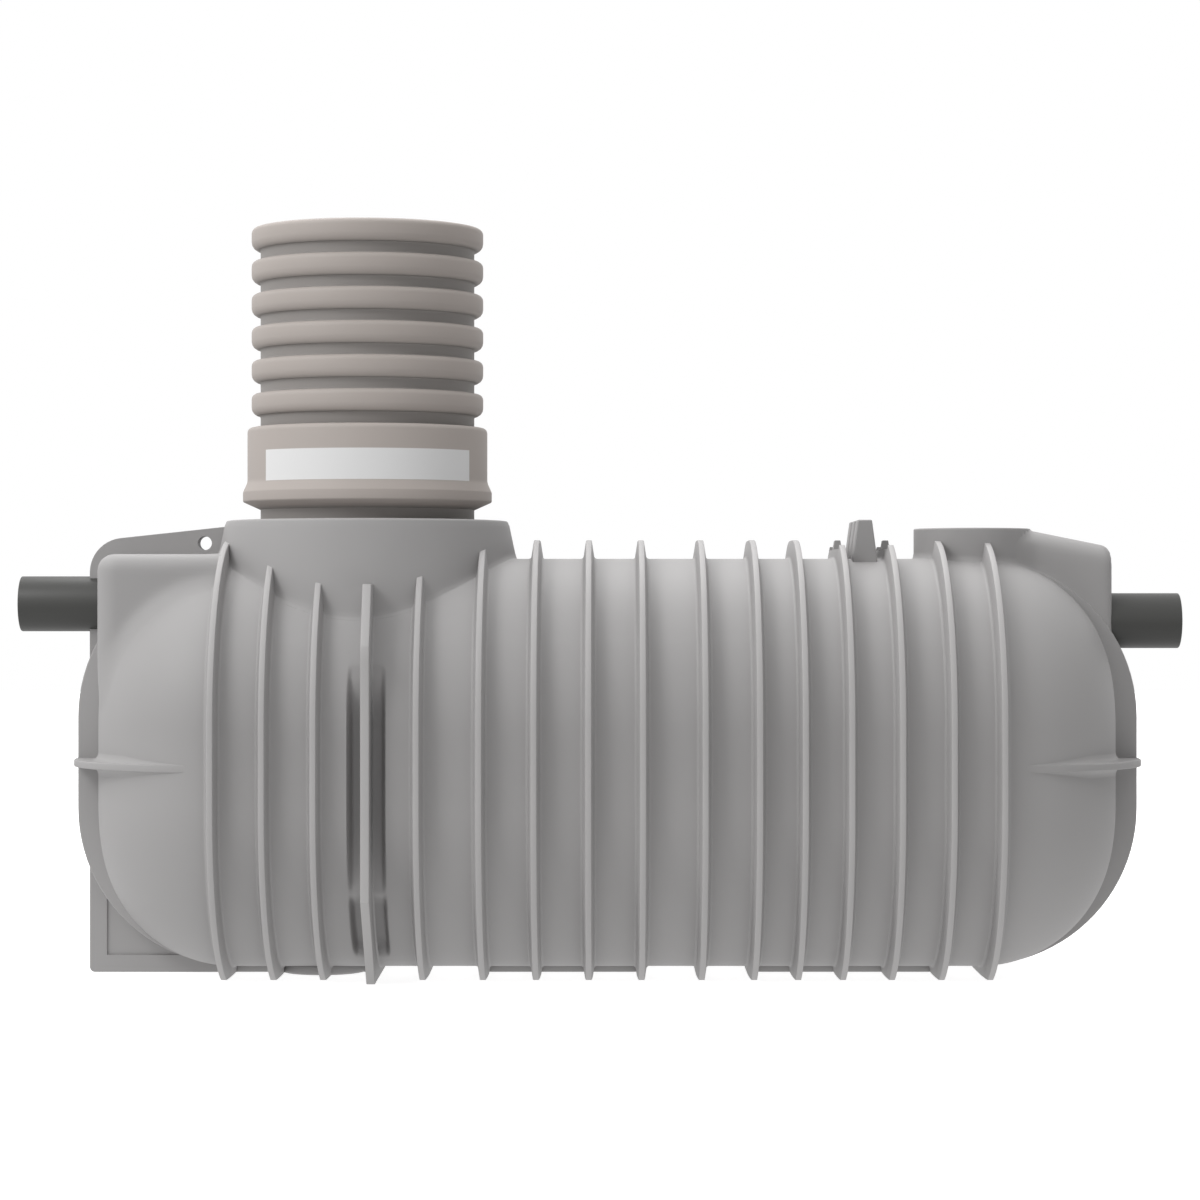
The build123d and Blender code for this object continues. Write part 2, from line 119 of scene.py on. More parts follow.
@dataclass(frozen=True)
class PaintedShade:
    """Shade painted as a darker tone inside a radius from an upright axis, as in grooves."""

    centre_x: float
    inner: float
    outer: float
    tone: tuple[float, float, float]

    def shade(self, tree: bpy.types.NodeTree, place: bpy.types.NodeSocket,
              color: bpy.types.NodeSocket) -> bpy.types.NodeSocket:
        """Paint the shade: darken a colour inside the radius.

        Args:
            tree: The material's node tree.
            place: The object coordinates.
            color: The colour to darken.

        Returns:
            The darkened colour.
        """
        nodes, links = tree.nodes, tree.links
        level = nodes.new("ShaderNodeMapping")
        level.inputs["Location"].default_value = (-self.centre_x, 0, 0)
        level.inputs["Scale"].default_value = (1, 1, 0)
        links.new(place, level.inputs["Vector"])
        radius = nodes.new("ShaderNodeVectorMath")
        radius.operation = "LENGTH"
        links.new(level.outputs["Vector"], radius.inputs[0])
        depth = fade(tree, radius.outputs["Value"], (self.inner, self.outer))
        mixed = nodes.new("ShaderNodeMix")
        mixed.data_type = "RGBA"
        mixed.blend_type = "MIX"
        links.new(depth, mixed.inputs["Factor"])
        darker = nodes.new("ShaderNodeVectorMath")
        darker.operation = "MULTIPLY"
        darker.inputs[1].default_value = self.tone
        links.new(color, darker.inputs[0])
        colors = [socket for socket in mixed.inputs if socket.type == "RGBA"]
        links.new(darker.outputs[0], colors[0])
        links.new(color, colors[1])
        return next(socket for socket in mixed.outputs if socket.type == "RGBA")


@dataclass(frozen=True)
class Moulded:
    """A matte moulded plastic: its colour, how rough it is and its fine orange-peel grain."""

    name: str
    slot: Slot
    color: tuple[float, float, float]
    roughness: float
    grain_per_metre: float = 420.0
    grain_depth: float = 0.0004
    mottle: float = 0.05

    def build(self, painted_shade: PaintedShade | None = None) -> bpy.types.Material:
        """Make the node material.

        Args:
            painted_shade: Shade painted into the colour towards an upright axis, if any.

        Returns:
            The material, with colour, roughness and grain driven by the shared group.
        """
        material = bpy.data.materials.new(self.name)
        material.use_nodes = True
        nodes, links = material.node_tree.nodes, material.node_tree.links
        shader = nodes["Principled BSDF"]
        shader.inputs["IOR"].default_value = PLASTIC_IOR
        place = nodes.new("ShaderNodeTexCoord")
        finish = nodes.new("ShaderNodeGroup")
        finish.node_tree = moulded_group()
        finish.inputs["Color"].default_value = (*self.color, 1.0)
        finish.inputs["Roughness"].default_value = self.roughness
        finish.inputs["Grain Scale"].default_value = self.grain_per_metre
        finish.inputs["Mottle"].default_value = self.mottle
        bump = nodes.new("ShaderNodeBump")
        bump.inputs["Distance"].default_value = self.grain_depth
        bump.inputs["Strength"].default_value = GRAIN_STRENGTH
        links.new(place.outputs["Object"], finish.inputs["Vector"])
        color = finish.outputs["Color"]
        # Painted shade: darken the colour towards an upright axis.
        if painted_shade:
            color = painted_shade.shade(material.node_tree, place.outputs["Object"], color)
        links.new(color, shader.inputs["Base Color"])
        links.new(finish.outputs["Roughness"], shader.inputs["Roughness"])
        links.new(finish.outputs["Height"], bump.inputs["Height"])
        links.new(bump.outputs["Normal"], shader.inputs["Normal"])
        return material


def moulded_group() -> bpy.types.NodeTree:
    """The node group that all the moulded plastics share, built on first use.

    Returns:
        A group that puts out a mottled colour, a varied roughness and a grain height.
    """
    name = "moulded plastic skin"
    if name in bpy.data.node_groups:
        return bpy.data.node_groups[name]
    group = bpy.data.node_groups.new(name, "ShaderNodeTree")
    taken = (("Vector", "Vector"), ("Color", "Color"), ("Roughness", "Float"),
             ("Grain Scale", "Float"), ("Mottle", "Float"))
    put_out = (("Color", "Color"), ("Roughness", "Float"), ("Height", "Float"))
    for way, sockets in (("INPUT", taken), ("OUTPUT", put_out)):
        for label, kind in sockets:
            group.interface.new_socket(label, in_out=way, socket_type=f"NodeSocket{kind}")
    nodes, links = group.nodes, group.links
    given = nodes.new("NodeGroupInput")
    result = nodes.new("NodeGroupOutput")

    cloud = nodes.new("ShaderNodeTexNoise")
    cloud.inputs["Scale"].default_value = CLOUDS_PER_METRE
    cloud.inputs["Detail"].default_value = CLOUD_DETAIL
    links.new(given.outputs["Vector"], cloud.inputs["Vector"])
    grain = nodes.new("ShaderNodeTexNoise")
    grain.inputs["Detail"].default_value = GRAIN_DETAIL
    links.new(given.outputs["Vector"], grain.inputs["Vector"])
    links.new(given.outputs["Grain Scale"], grain.inputs["Scale"])

    swing = nodes.new("ShaderNodeMath")
    swing.operation = "SUBTRACT"
    swing.inputs[1].default_value = 0.5
    links.new(cloud.outputs["Fac"], swing.inputs[0])
    amount = nodes.new("ShaderNodeMath")
    amount.operation = "MULTIPLY"
    links.new(swing.outputs[0], amount.inputs[0])
    links.new(given.outputs["Mottle"], amount.inputs[1])
    shade = nodes.new("ShaderNodeMath")
    shade.operation = "MULTIPLY_ADD"
    shade.inputs[1].default_value = 2.0
    shade.inputs[2].default_value = 1.0
    links.new(amount.outputs[0], shade.inputs[0])
    tint = nodes.new("ShaderNodeVectorMath")
    tint.operation = "SCALE"
    links.new(given.outputs["Color"], tint.inputs[0])
    links.new(shade.outputs[0], tint.inputs["Scale"])
    links.new(tint.outputs[0], result.inputs["Color"])

    rough = nodes.new("ShaderNodeMath")
    rough.operation = "MULTIPLY_ADD"
    rough.inputs[1].default_value = ROUGHNESS_SWING
    links.new(amount.outputs[0], rough.inputs[0])
    links.new(given.outputs["Roughness"], rough.inputs[2])
    links.new(rough.outputs[0], result.inputs["Roughness"])
    links.new(grain.outputs["Fac"], result.inputs["Height"])
    return group


TANK_GREY = Moulded("tank grey polyethylene", Slot.TANK, (0.360, 0.352, 0.351), 0.55)
# Painted highlight: the rib crests get a paler grey than the tank, so that they look lit.
RIB_CREST_HIGHLIGHT = Moulded("rib crest painted highlight", Slot.TANK, (0.425, 0.416, 0.414), 0.52)
RISER_TAUPE = Moulded("riser taupe plastic", Slot.RISER, (0.430, 0.387, 0.360), 0.58)
PIPE_GREY = Moulded("drain pipe dark grey", Slot.PIPE, (0.052, 0.052, 0.049), 0.42,
                    grain_per_metre=240.0, grain_depth=0.0002, mottle=0.08)
BARE_STRIP = Moulded("bare pale strip", Slot.RISER, (0.77, 0.77, 0.77), 0.45,
                     grain_per_metre=300.0, grain_depth=0.0001, mottle=0.02)


class Bench:
    """The hand tools: short moves in edit mode that every sub-assembly uses."""

    @staticmethod
    def clear() -> None:
        """Leave edit mode and deselect everything."""
        if bpy.context.mode != "OBJECT":
            bpy.ops.object.mode_set(mode="OBJECT")
        bpy.ops.object.select_all(action="DESELECT")

    @staticmethod
    def hold(piece: bpy.types.Object) -> None:
        """Make one object the only one selected and the active one.

        Args:
            piece: The object to hold.
        """
        Bench.clear()
        piece.select_set(True)
        bpy.context.view_layer.objects.active = piece

    @staticmethod
    def edit(piece: bpy.types.Object, select: str = "SELECT") -> None:
        """Open one object in edit mode with all of it selected, or none of it.

        Args:
            piece: The object to open.
            select: SELECT for all of it, or DESELECT for none.
        """
        Bench.hold(piece)
        bpy.ops.object.mode_set(mode="EDIT")
        bpy.ops.mesh.select_all(action=select)

    @staticmethod
    def draw(name: str, corners: list[tuple[float, float, float]]) -> bpy.types.Object:
        """Draw a line of edges by extruding one vertex from corner to corner.

        Args:
            name: The new object's name.
            corners: The places of the vertices, in order.

        Returns:
            The object, in edit mode, with its last vertex selected.
        """
        Bench.clear()
        bpy.ops.mesh.primitive_plane_add(size=0.01, location=(0, 0, 0))
        line = bpy.context.active_object
        line.name = name
        bpy.ops.object.mode_set(mode="EDIT")
        bpy.ops.mesh.merge(type="CENTER")
        bpy.ops.transform.translate(value=corners[0])
        for here, there in zip(corners, corners[1:]):
            step = tuple(b - a for a, b in zip(here, there))
            bpy.ops.mesh.extrude_vertices_move(TRANSFORM_OT_translate={"value": step})
        return line

    @staticmethod
    def clean(piece: bpy.types.Object, crease_degrees: float = CREASE) -> bpy.types.Object:
        """Weld doubles, turn the faces outwards and shade the piece.

        Args:
            piece: The mesh to finish.
            crease_degrees: Edges sharper than this stay crisp.

        Returns:
            The same object, in object mode.
        """
        Bench.edit(piece)
        bpy.ops.mesh.remove_doubles(threshold=WELD)
        bpy.ops.mesh.normals_make_consistent(inside=False)
        bpy.ops.object.mode_set(mode="OBJECT")
        bpy.ops.object.shade_smooth_by_angle(angle=math.radians(crease_degrees))
        return piece

    @staticmethod
    def cut_below_ground(piece: bpy.types.Object) -> None:
        """Trim what lies under Z = 0 and close the cut with a flat face.

        Args:
            piece: The closed mesh to trim.
        """
        Bench.edit(piece)
        bpy.ops.mesh.bisect(plane_co=(0, 0, 0), plane_no=(0, 0, -1),
                            clear_outer=True, use_fill=True)
        bpy.ops.object.mode_set(mode="OBJECT")

    @staticmethod
    def subtract(piece: bpy.types.Object, tool: bpy.types.Object) -> None:
        """Cut the tool's shape out of the piece and keep the tool.

        Args:
            piece: The mesh to cut.
            tool: The closed body that cuts it.
        """
        Bench.hold(piece)
        cut = piece.modifiers.new("cut", "BOOLEAN")
        cut.operation = "DIFFERENCE"
        cut.solver = "EXACT"
        cut.object = tool
        bpy.ops.object.modifier_apply(modifier=cut.name)

    @staticmethod
    def close_ends(piece: bpy.types.Object) -> None:
        """Fill the open ends of a piece with flat faces.

        Args:
            piece: The open mesh, already welded.
        """
        Bench.edit(piece, "DESELECT")
        bpy.ops.mesh.select_non_manifold()
        bpy.ops.mesh.fill_holes(sides=0)
        bpy.ops.mesh.select_all(action="SELECT")
        bpy.ops.mesh.normals_make_consistent(inside=False)
        bpy.ops.object.mode_set(mode="OBJECT")

    @staticmethod
    def plate(name: str, outline: list[tuple[float, float]], half: float) -> bpy.types.Object:
        """Fill an outline of X and Z and extrude it on both sides of the middle plane.

        Args:
            name: The new object's name.
            outline: The closed outline, without its first point again.
            half: Half the plate's thickness.

        Returns:
            The closed plate, in object mode.
        """
        corners = [(x, -half, z) for x, z in outline]
        slab = Bench.draw(name, corners + corners[:1])
        bpy.ops.mesh.select_all(action="SELECT")
        bpy.ops.mesh.remove_doubles(threshold=WELD)
        bpy.ops.mesh.edge_face_add()
        bpy.ops.mesh.extrude_region_move(TRANSFORM_OT_translate={"value": (0, 2 * half, 0)})
        return Bench.clean(slab)

    @staticmethod
    def block(name: str, low: tuple[float, float, float],
              high: tuple[float, float, float]) -> bpy.types.Object:
        """Add a box between two corners, with its place in its mesh.

        Args:
            name: The new object's name.
            low: The corner with the least coordinates.
            high: The corner with the greatest coordinates.

        Returns:
            The box, in object mode.
        """
        Bench.clear()
        bpy.ops.mesh.primitive_cube_add(size=1, location=(0, 0, 0))
        box = bpy.context.active_object
        box.name = name
        bpy.ops.object.mode_set(mode="EDIT")
        bpy.ops.transform.resize(value=tuple(b - a for a, b in zip(low, high)))
        bpy.ops.transform.translate(value=tuple((a + b) / 2 for a, b in zip(low, high)))
        bpy.ops.object.mode_set(mode="OBJECT")
        return box

    @staticmethod
    def rod(name: str, centre: tuple[float, float, float], radius: float, length: float,
            turn: tuple[float, float, float] = (0.0, 0.0, 0.0)) -> bpy.types.Object:
        """Add a round bar and apply its place, for cutting holes or for a boss.

        Args:
            name: The new object's name.
            centre: The middle of the bar.
            radius: The bar's radius.
            length: The bar's length.
            turn: How it is turned from upright, in radians about X, Y and Z.

        Returns:
            The bar, in object mode.
        """
        Bench.clear()
        bpy.ops.mesh.primitive_cylinder_add(vertices=64, radius=radius, depth=length,
                                            location=centre, rotation=turn)
        bar = bpy.context.active_object
        bar.name = name
        bpy.ops.object.transform_apply(location=True, rotation=True, scale=True)
        return bar

    @staticmethod
    def cut_with(piece: bpy.types.Object, tool: bpy.types.Object) -> None:
        """Cut the tool's shape out of the piece and throw the tool away."""
        Bench.subtract(piece, tool)
        bpy.data.objects.remove(tool)

    @staticmethod
    def bevel(piece: bpy.types.Object, width: float, segments: int = 3,
              crease_degrees: float = CREASE) -> None:
        """Round every edge that is sharper than the given angle.

        Args:
            piece: The mesh to round.
            width: How wide the rounding is.
            segments: How many faces go across it.
            crease_degrees: Edges sharper than this are rounded.
        """
        Bench.hold(piece)
        rounding = piece.modifiers.new("rounding", "BEVEL")
        rounding.width = width
        rounding.segments = segments
        rounding.limit_method = "ANGLE"
        rounding.angle_limit = math.radians(crease_degrees)
        rounding.harden_normals = False
        bpy.ops.object.modifier_apply(modifier=rounding.name)

    @staticmethod
    def outwards(piece: bpy.types.Object, axis: float) -> None:
        """Turn an open skin over if its faces look at the tank's axis.

        Args:
            piece: The open skin.
            axis: The height of the tank's axis.
        """
        centres = face_centres(piece) * (0, 1, 1) - (0, 0, axis)
        normals = np.array([tuple(face.normal) for face in piece.data.polygons])
        if (centres * normals).sum() < 0:
            Bench.edit(piece)
            bpy.ops.mesh.flip_normals()
            bpy.ops.object.mode_set(mode="OBJECT")

    @staticmethod
    def thicken(piece: bpy.types.Object, wall: float) -> None:
        """Give an open skin its wall, inwards from its outer face.

        Args:
            piece: The open skin.
            wall: How thick the wall is.
        """
        Bench.hold(piece)
        solid = piece.modifiers.new("wall", "SOLIDIFY")
        solid.thickness = wall
        solid.offset = -1.0
        solid.use_even_offset = False
        bpy.ops.object.modifier_apply(modifier=solid.name)

    @staticmethod
    def skin(name: str, places: Points, wrap: bool = False) -> bpy.types.Object:
        """Lay a grid primitive over an array of places.

        Args:
            name: The new object's name.
            places: Rows by columns by three coordinates.
            wrap: Whether the last column joins the first one again.

        Returns:
            The laid grid, in object mode.
        """
        if wrap:
            places = np.concatenate([places, places[:, :1]], axis=1)
        rows, columns = places.shape[:2]
        Bench.clear()
        bpy.ops.mesh.primitive_grid_add(x_subdivisions=rows - 1, y_subdivisions=columns - 1,
                                        size=2.0)
        sheet = bpy.context.active_object
        sheet.name = name
        flat = np.empty(len(sheet.data.vertices) * 3)
        sheet.data.vertices.foreach_get("co", flat)
        flat = flat.reshape(-1, 3)
        row = np.rint((flat[:, 0] + 1.0) / 2.0 * (rows - 1)).astype(int)
        column = np.rint((flat[:, 1] + 1.0) / 2.0 * (columns - 1)).astype(int)
        sheet.data.vertices.foreach_set("co", places[row, column].ravel())
        sheet.data.update()
        return sheet

    @staticmethod
    def spin_up(name: str, profile: list[tuple[float, float]], centre_x: float,
                steps: int = 96) -> bpy.types.Object:
        """Turn a closed profile of radius and height about a vertical axis.

        Args:
            name: The new object's name.
            profile: The closed outline as (radius, height), without its first point again.
            centre_x: Where the axis stands along the tank.
            steps: How many facets the full turn has.

        Returns:
            The turned piece, in object mode.
        """
        corners = [(centre_x + radius, 0.0, height) for radius, height in profile]
        turned = Bench.draw(name, corners + corners[:1])
        bpy.ops.mesh.select_all(action="SELECT")
        bpy.ops.mesh.spin(steps=steps, angle=2 * math.pi, center=(centre_x, 0, 0), axis=(0, 0, 1))
        return Bench.clean(turned)


def rounded(corners: list[tuple[float, float, float]], steps: int = 5) -> list[tuple[float, float]]:
    """Round the corners of a closed outline.

    Args:
        corners: Each corner as (first, second, radius); a radius of 0 stays sharp.
        steps: How many points each rounded corner gets.

    Returns:
        The outline's points in order.
    """
    outline: list[tuple[float, float]] = []
    count = len(corners)
    for index, (x, y, radius) in enumerate(corners):
        if radius == 0:
            outline.append((x, y))
            continue
        here = np.array([x, y])
        before = np.array(corners[index - 1][:2]) - here
        after = np.array(corners[(index + 1) % count][:2]) - here
        before /= np.linalg.norm(before)
        after /= np.linalg.norm(after)
        half = math.acos(float(np.clip(before @ after, -1, 1))) / 2
        reach = radius / math.tan(half)
        middle = here + (before + after) / np.linalg.norm(before + after) * radius / math.sin(half)
        first = here + before * reach - middle
        last = here + after * reach - middle
        sweep = math.pi - 2 * half
        for step in range(steps):
            share = step / (steps - 1)
            a = math.sin((1 - share) * sweep) / math.sin(sweep)
            b = math.sin(share * sweep) / math.sin(sweep)
            outline.append(tuple(middle + first * a + last * b))
    return outline


def evenly(corners: Points, count: int) -> Points:
    """Space places evenly along a line of straight runs.

    Args:
        corners: The line's corners in order.
        count: How many places to give.

    Returns:
        The places, from the first corner to the last.
    """
    runs = np.linalg.norm(np.diff(corners, axis=0), axis=1)
    along = np.concatenate([[0.0], np.cumsum(runs)])
    wanted = np.linspace(0, along[-1], count)
    return np.stack([np.interp(wanted, along, corners[:, axis])
                     for axis in range(corners.shape[1])], axis=1)


def middle_of(node: str) -> Vector:
    """The centre of a node's box."""
    low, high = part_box(node)
    return (low + high) / 2


def settle(piece: bpy.types.Object, finish: Moulded, material: bpy.types.Material,
           *nodes: str) -> bpy.types.Object:
    """Give a finished piece its material and its body, and hide the nodes it stands for.

    Args:
        piece: The finished object.
        finish: Not used.
        material: The finish's built material.
        nodes: The CAD nodes that the piece replaces.

    Returns:
        The same object.
    """
    piece.data.materials.clear()
    piece.data.materials.append(material)
    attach(piece, BODY)
    if nodes:
        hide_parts(*nodes)
    log.info("%s: %d faces, stands for %s", piece.name, len(piece.data.polygons), list(nodes))
    return piece


def paint_highlight(piece: bpy.types.Object, chosen: Points, material: bpy.types.Material) -> None:
    """Paint a highlight on some faces of a settled piece with a second, paler material.

    Args:
        piece: The settled object.
        chosen: For each face, whether it gets the painted highlight.
        material: The painted highlight's material.
    """
    piece.data.materials.append(material)
    for face, pale in zip(piece.data.polygons, chosen):
        face.material_index = int(pale)


def face_centres(piece: bpy.types.Object) -> Points:
    """The middles of all faces, in the object's own frame."""
    return np.array([tuple(face.center) for face in piece.data.polygons])


@dataclass(frozen=True)
class Section:
    """The barrel's cross-section: a rectangle with large round corners."""

    axis: float
    half_width: float
    half_height: float
    corner: float

    @classmethod
    def from_frame(cls, corner: float = 0.479) -> "Section":
        """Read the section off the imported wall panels.

        Args:
            corner: The radius of the round corners.

        Returns:
            The section of the outer skin.
        """
        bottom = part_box("shell_floor")[0].z
        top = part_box("shell_front")[0].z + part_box("shell_front")[1].z - bottom
        half_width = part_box("shell_back")[1].y
        return cls(axis=(top + bottom) / 2, half_width=half_width,
                   half_height=(top - bottom) / 2, corner=corner)

    @property
    def flat_y(self) -> float:
        """Half the width of the flat stretch at the top and the bottom."""
        return self.half_width - self.corner

    @property
    def flat_z(self) -> float:
        """Half the height of the flat stretch at the front and the back."""
        return self.half_height - self.corner

    def outline(self, proud: float, corner_steps: int, flat_steps: int = 4) -> Points:
        """Points round the section, starting at the top and going to the back.

        Args:
            proud: How far the outline stands out from the skin.
            corner_steps: How many steps each round corner has.
            flat_steps: How many steps each flat stretch has.

        Returns:
            An array of (y, z) with no point twice.
        """
        radius = self.corner + proud
        turns = np.linspace(math.pi / 2, 0, corner_steps + 1)
        back_top = np.stack([self.flat_y + radius * np.cos(turns),
                             self.flat_z + radius * np.sin(turns)], axis=1)
        fall = np.linspace(self.flat_z, -self.flat_z, flat_steps + 1)[1:-1]
        back = np.stack([np.full_like(fall, self.flat_y + radius), fall], axis=1)
        half = np.concatenate([back_top, back, back_top[::-1] * (1, -1)])
        run = np.linspace(self.flat_y, -self.flat_y, flat_steps + 1)[1:-1]
        under = np.stack([run, np.full_like(run, -self.flat_z - radius)], axis=1)
        other = half[::-1] * (-1, 1)
        over = under[::-1] * (1, -1)
        loop = np.concatenate([half, under, other, over])
        return loop + (0, self.axis)


@dataclass(frozen=True)
class Turret:
    """A round neck on the tank: upright, or flared so that its foot is an ellipse."""

    name: str
    centre_x: float
    top: float
    radius: float
    flare_along: float = 0.0
    flare_across: float = 0.0
    opening: float = 0.0
    fillet: float = 0.010
    rounding: float = 0.008

    def radii(self, height: Points) -> tuple[Points, Points]:
        """The wall's half length and half width at a height."""
        drop = np.maximum(self.top - height, 0)
        return self.radius + drop * self.flare_along, self.radius + drop * self.flare_across

    def distance(self, at: Points) -> Points:
        """Distance from the turret, near enough close to its wall.

        Args:
            at: The places to measure from.

        Returns:
            The distances, below 0 inside.
        """
        along, over = self.radii(at[..., 2])
        out = np.hypot((at[..., 0] - self.centre_x) / along, at[..., 1] / over)
        wall = (out - 1) * np.minimum(along, over)
        gap = self.rounding
        return Mould.extruded(wall + gap, at[..., 2] - self.top + gap) - gap

    def wall_at(self, out: Points, height: Points) -> Points:
        """The wall's places at a height for level unit headings about the axis.

        Args:
            out: The headings.
            height: The height, one for all or one for each heading.

        Returns:
            One place for each heading.
        """
        along, over = self.radii(height)
        radius = 1 / np.hypot(out[:, 0] / along, out[:, 1] / over)
        return np.stack([self.centre_x + out[:, 0] * radius, out[:, 1] * radius,
                         np.broadcast_to(height, radius.shape)], axis=1)

    def ring(self, out: Points, radius: float, height: float) -> Points:
        """A level circle about the axis."""
        level = np.full(len(out), height)
        return np.stack([self.centre_x + out[:, 0] * radius, out[:, 1] * radius, level], axis=1)


@dataclass
class Mould:
    """The tank's outer skin as distances, so that soft blends can be laid on it.

    The domes meet the barrel at start and stop, and dome_radius turns the barrel into its ends.
    """

    section: Section
    start: float
    stop: float
    dome_radius: float
    inlet_blend: float = 0.036
    outlet_blend: float = 0.012
    turret_blend: float = 0.040
    crest_blend: float = 0.003
    under_turret: float = 0.001
    taper_height: float = 0.319
    taper_length: float = 0.70
    housing_foot: float = 0.12
    pocket_half_length: float = 0.054
    pocket_floor: float = 0.484
    pocket_top: float = 0.282
    pocket_soft: float = 0.014
    pocket_run_in: float = 0.170
    pocket_brow: float = 0.14
    pocket_steepness: float = 3.0
    inlet_corner: float = 0.060
    inlet_brow: float = 0.048
    outlet_slope_foot: float = 1.233
    outlet_shoulder: float = 0.055
    outlet_brow: float = 0.026
    outlet_foot: float = 0.2
    inlet_neck_radius: float = 0.410
    inlet_neck_opening: float = 0.300
    inlet_neck_flare: tuple[float, float] = (12.0, 4.1)
    inlet_neck_fillet: float = 0.005
    outlet_neck_rounding: float = 0.004
    first_rib: float = field(init=False)
    stout_rib: float = field(init=False)
    inlet_low: Vector = field(init=False)
    inlet_high: Vector = field(init=False)
    outlet_high: Vector = field(init=False)
    inlet_turret: Turret = field(init=False)
    outlet_turret: Turret = field(init=False)

    def __post_init__(self) -> None:
        """Read the places of the ribs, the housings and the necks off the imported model."""
        self.first_rib = middle_of("rib_01").x
        self.stout_rib = middle_of("rib_04").x
        self.inlet_low, self.inlet_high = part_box("inlet_housing")
        self.outlet_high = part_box("outlet_housing")[1]
        neck_low, neck_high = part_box("inlet_neck")
        flare_along, flare_across = (math.tan(math.radians(lean))
                                     for lean in self.inlet_neck_flare)
        self.inlet_turret = Turret(
            "inlet_neck", (neck_low.x + neck_high.x) / 2, neck_high.z, self.inlet_neck_radius,
            flare_along, flare_across, self.inlet_neck_opening, self.inlet_neck_fillet)
        turret_low, turret_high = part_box("outlet_neck")
        self.outlet_turret = Turret(
            "outlet_neck", (turret_low.x + turret_high.x) / 2, turret_high.z,
            (turret_high.x - turret_low.x) / 2, rounding=self.outlet_neck_rounding)

    @staticmethod
    def extruded(across: Points, along: Points) -> Points:
        """Distance to a prism from the distance in its section and past its end."""
        outside = np.hypot(np.maximum(across, 0), np.maximum(along, 0))
        return np.minimum(np.maximum(across, along), 0) + outside

    @staticmethod
    def edge(a: Points, b: Points, radius: float) -> Points:
        """Distance to what two bodies share, with the edge between them rounded."""
        return Mould.extruded(a + radius, b + radius) - radius

    @staticmethod
    def fillet(a: Points, b: Points, radius: float) -> Points:
        """Distance to two bodies joined with a round fillet.

        Args:
            a: Distance to the first body.
            b: Distance to the second body.
            radius: The fillet's radius.

        Returns:
            The distance to the joined body.
        """
        near_a = np.maximum(radius - a, 0)
        near_b = np.maximum(radius - b, 0)
        return np.maximum(radius, np.minimum(a, b)) - np.hypot(near_a, near_b)

    def tank(self, at: Points) -> Points:
        """Distance from the plain tank body.

        Args:
            at: The places to measure from.

        Returns:
            The distances, below 0 inside.
        """
        section, radius = self.section, self.dome_radius
        dy = np.abs(at[..., 1]) - section.flat_y
        dz = np.abs(at[..., 2] - section.axis) - section.flat_z
        across = np.hypot(np.maximum(dy, 0), np.maximum(dz, 0)) + np.minimum(
            np.maximum(dy, dz), 0) - (section.corner - radius)
        along = np.maximum(self.start - at[..., 0], at[..., 0] - self.stop)
        return self.extruded(across, along) - radius

    @staticmethod
    def ease(share: Points) -> Points:
        """A soft step from 0 to 1."""
        share = np.clip(share, 0, 1)
        return share * share * (3 - 2 * share)

    def pocket_depth(self, at: Points) -> Points:
        """How far the pockets beside the stout rib press the skin inwards.

        Args:
            at: The places to look at.

        Returns:
            The depths, 0 outside the pockets.
        """
        height = at[..., 2] - self.section.axis
        round_part = np.minimum(np.maximum(np.abs(height) - self.section.flat_z, 0),
                                self.section.corner)
        half_width = self.section.flat_y + np.sqrt(self.section.corner ** 2 - round_part ** 2)
        along = self.ease((self.pocket_half_length - np.abs(at[..., 0] - self.stout_rib))
                          / self.pocket_soft)
        under = self.pocket_top - height
        up = (self.pocket_brow * self.ease(under / self.pocket_soft * self.pocket_steepness)
              + (1 - self.pocket_brow) * self.ease(under / self.pocket_run_in))
        return np.maximum(half_width - self.pocket_floor, 0) * along * up

    def pocketed(self, at: Points) -> Points:
        """Distance from the tank with the pockets pressed into its front and back.

        Args:
            at: The places to measure from.

        Returns:
            The distances, below 0 inside.
        """
        pressed = at.copy()
        pressed[..., 1] = np.abs(at[..., 1]) + self.pocket_depth(at)
        return self.tank(pressed)

    def inlet_box(self, at: Points) -> Points:
        """Distance from the housing over the inlet dome, whose face falls back at its foot.

        Args:
            at: The places to measure from.

        Returns:
            The distances, below 0 inside.
        """
        drop = np.maximum(self.section.axis + self.taper_height - at[..., 2], 0)
        face = self.inlet_low.x + drop ** 2 / self.taper_length - at[..., 0]
        side = np.abs(at[..., 1]) - self.inlet_high.y
        top = at[..., 2] - self.inlet_high.z
        base = self.inlet_low.z - self.housing_foot - at[..., 2]
        upright = self.edge(face, side, self.inlet_corner)
        return np.maximum(self.edge(upright, top, self.inlet_brow), base)

    def inlet_end_skin(self, at: Points) -> Points:
        """Distance from the inlet dome with its housing blended in as far as the first rib.

        Args:
            at: The places to measure from.

        Returns:
            The distances, below 0 inside.
        """
        tank = self.tank(at)
        joined = self.fillet(tank, self.inlet_box(at), self.inlet_blend)
        return np.where(at[..., 0] < self.first_rib, joined, tank)

    def outlet_box(self, at: Points) -> Points:
        """Distance from the sloping housing over the outlet dome.

        Args:
            at: The places to measure from.

        Returns:
            The distances, below 0 inside.
        """
        turret = self.outlet_turret
        crest_x = turret.centre_x + turret.radius
        slope = np.array([self.outlet_high.z - self.outlet_slope_foot,
                          self.outlet_high.x - crest_x])
        slope /= np.hypot(*slope)
        fall = ((at[..., 0] - crest_x) * slope[0]
                + (at[..., 2] - self.outlet_high.z) * slope[1])
        crown = np.maximum(fall, at[..., 2] - self.outlet_high.z)
        face = at[..., 0] - self.outlet_high.x
        side = np.abs(at[..., 1]) - self.outlet_high.y
        back = turret.centre_x - at[..., 0]
        body = self.edge(self.edge(crown, side, self.outlet_shoulder), face, self.outlet_brow)
        base = self.section.axis + self.outlet_foot - at[..., 2]
        return np.maximum.reduce([body, back, base])

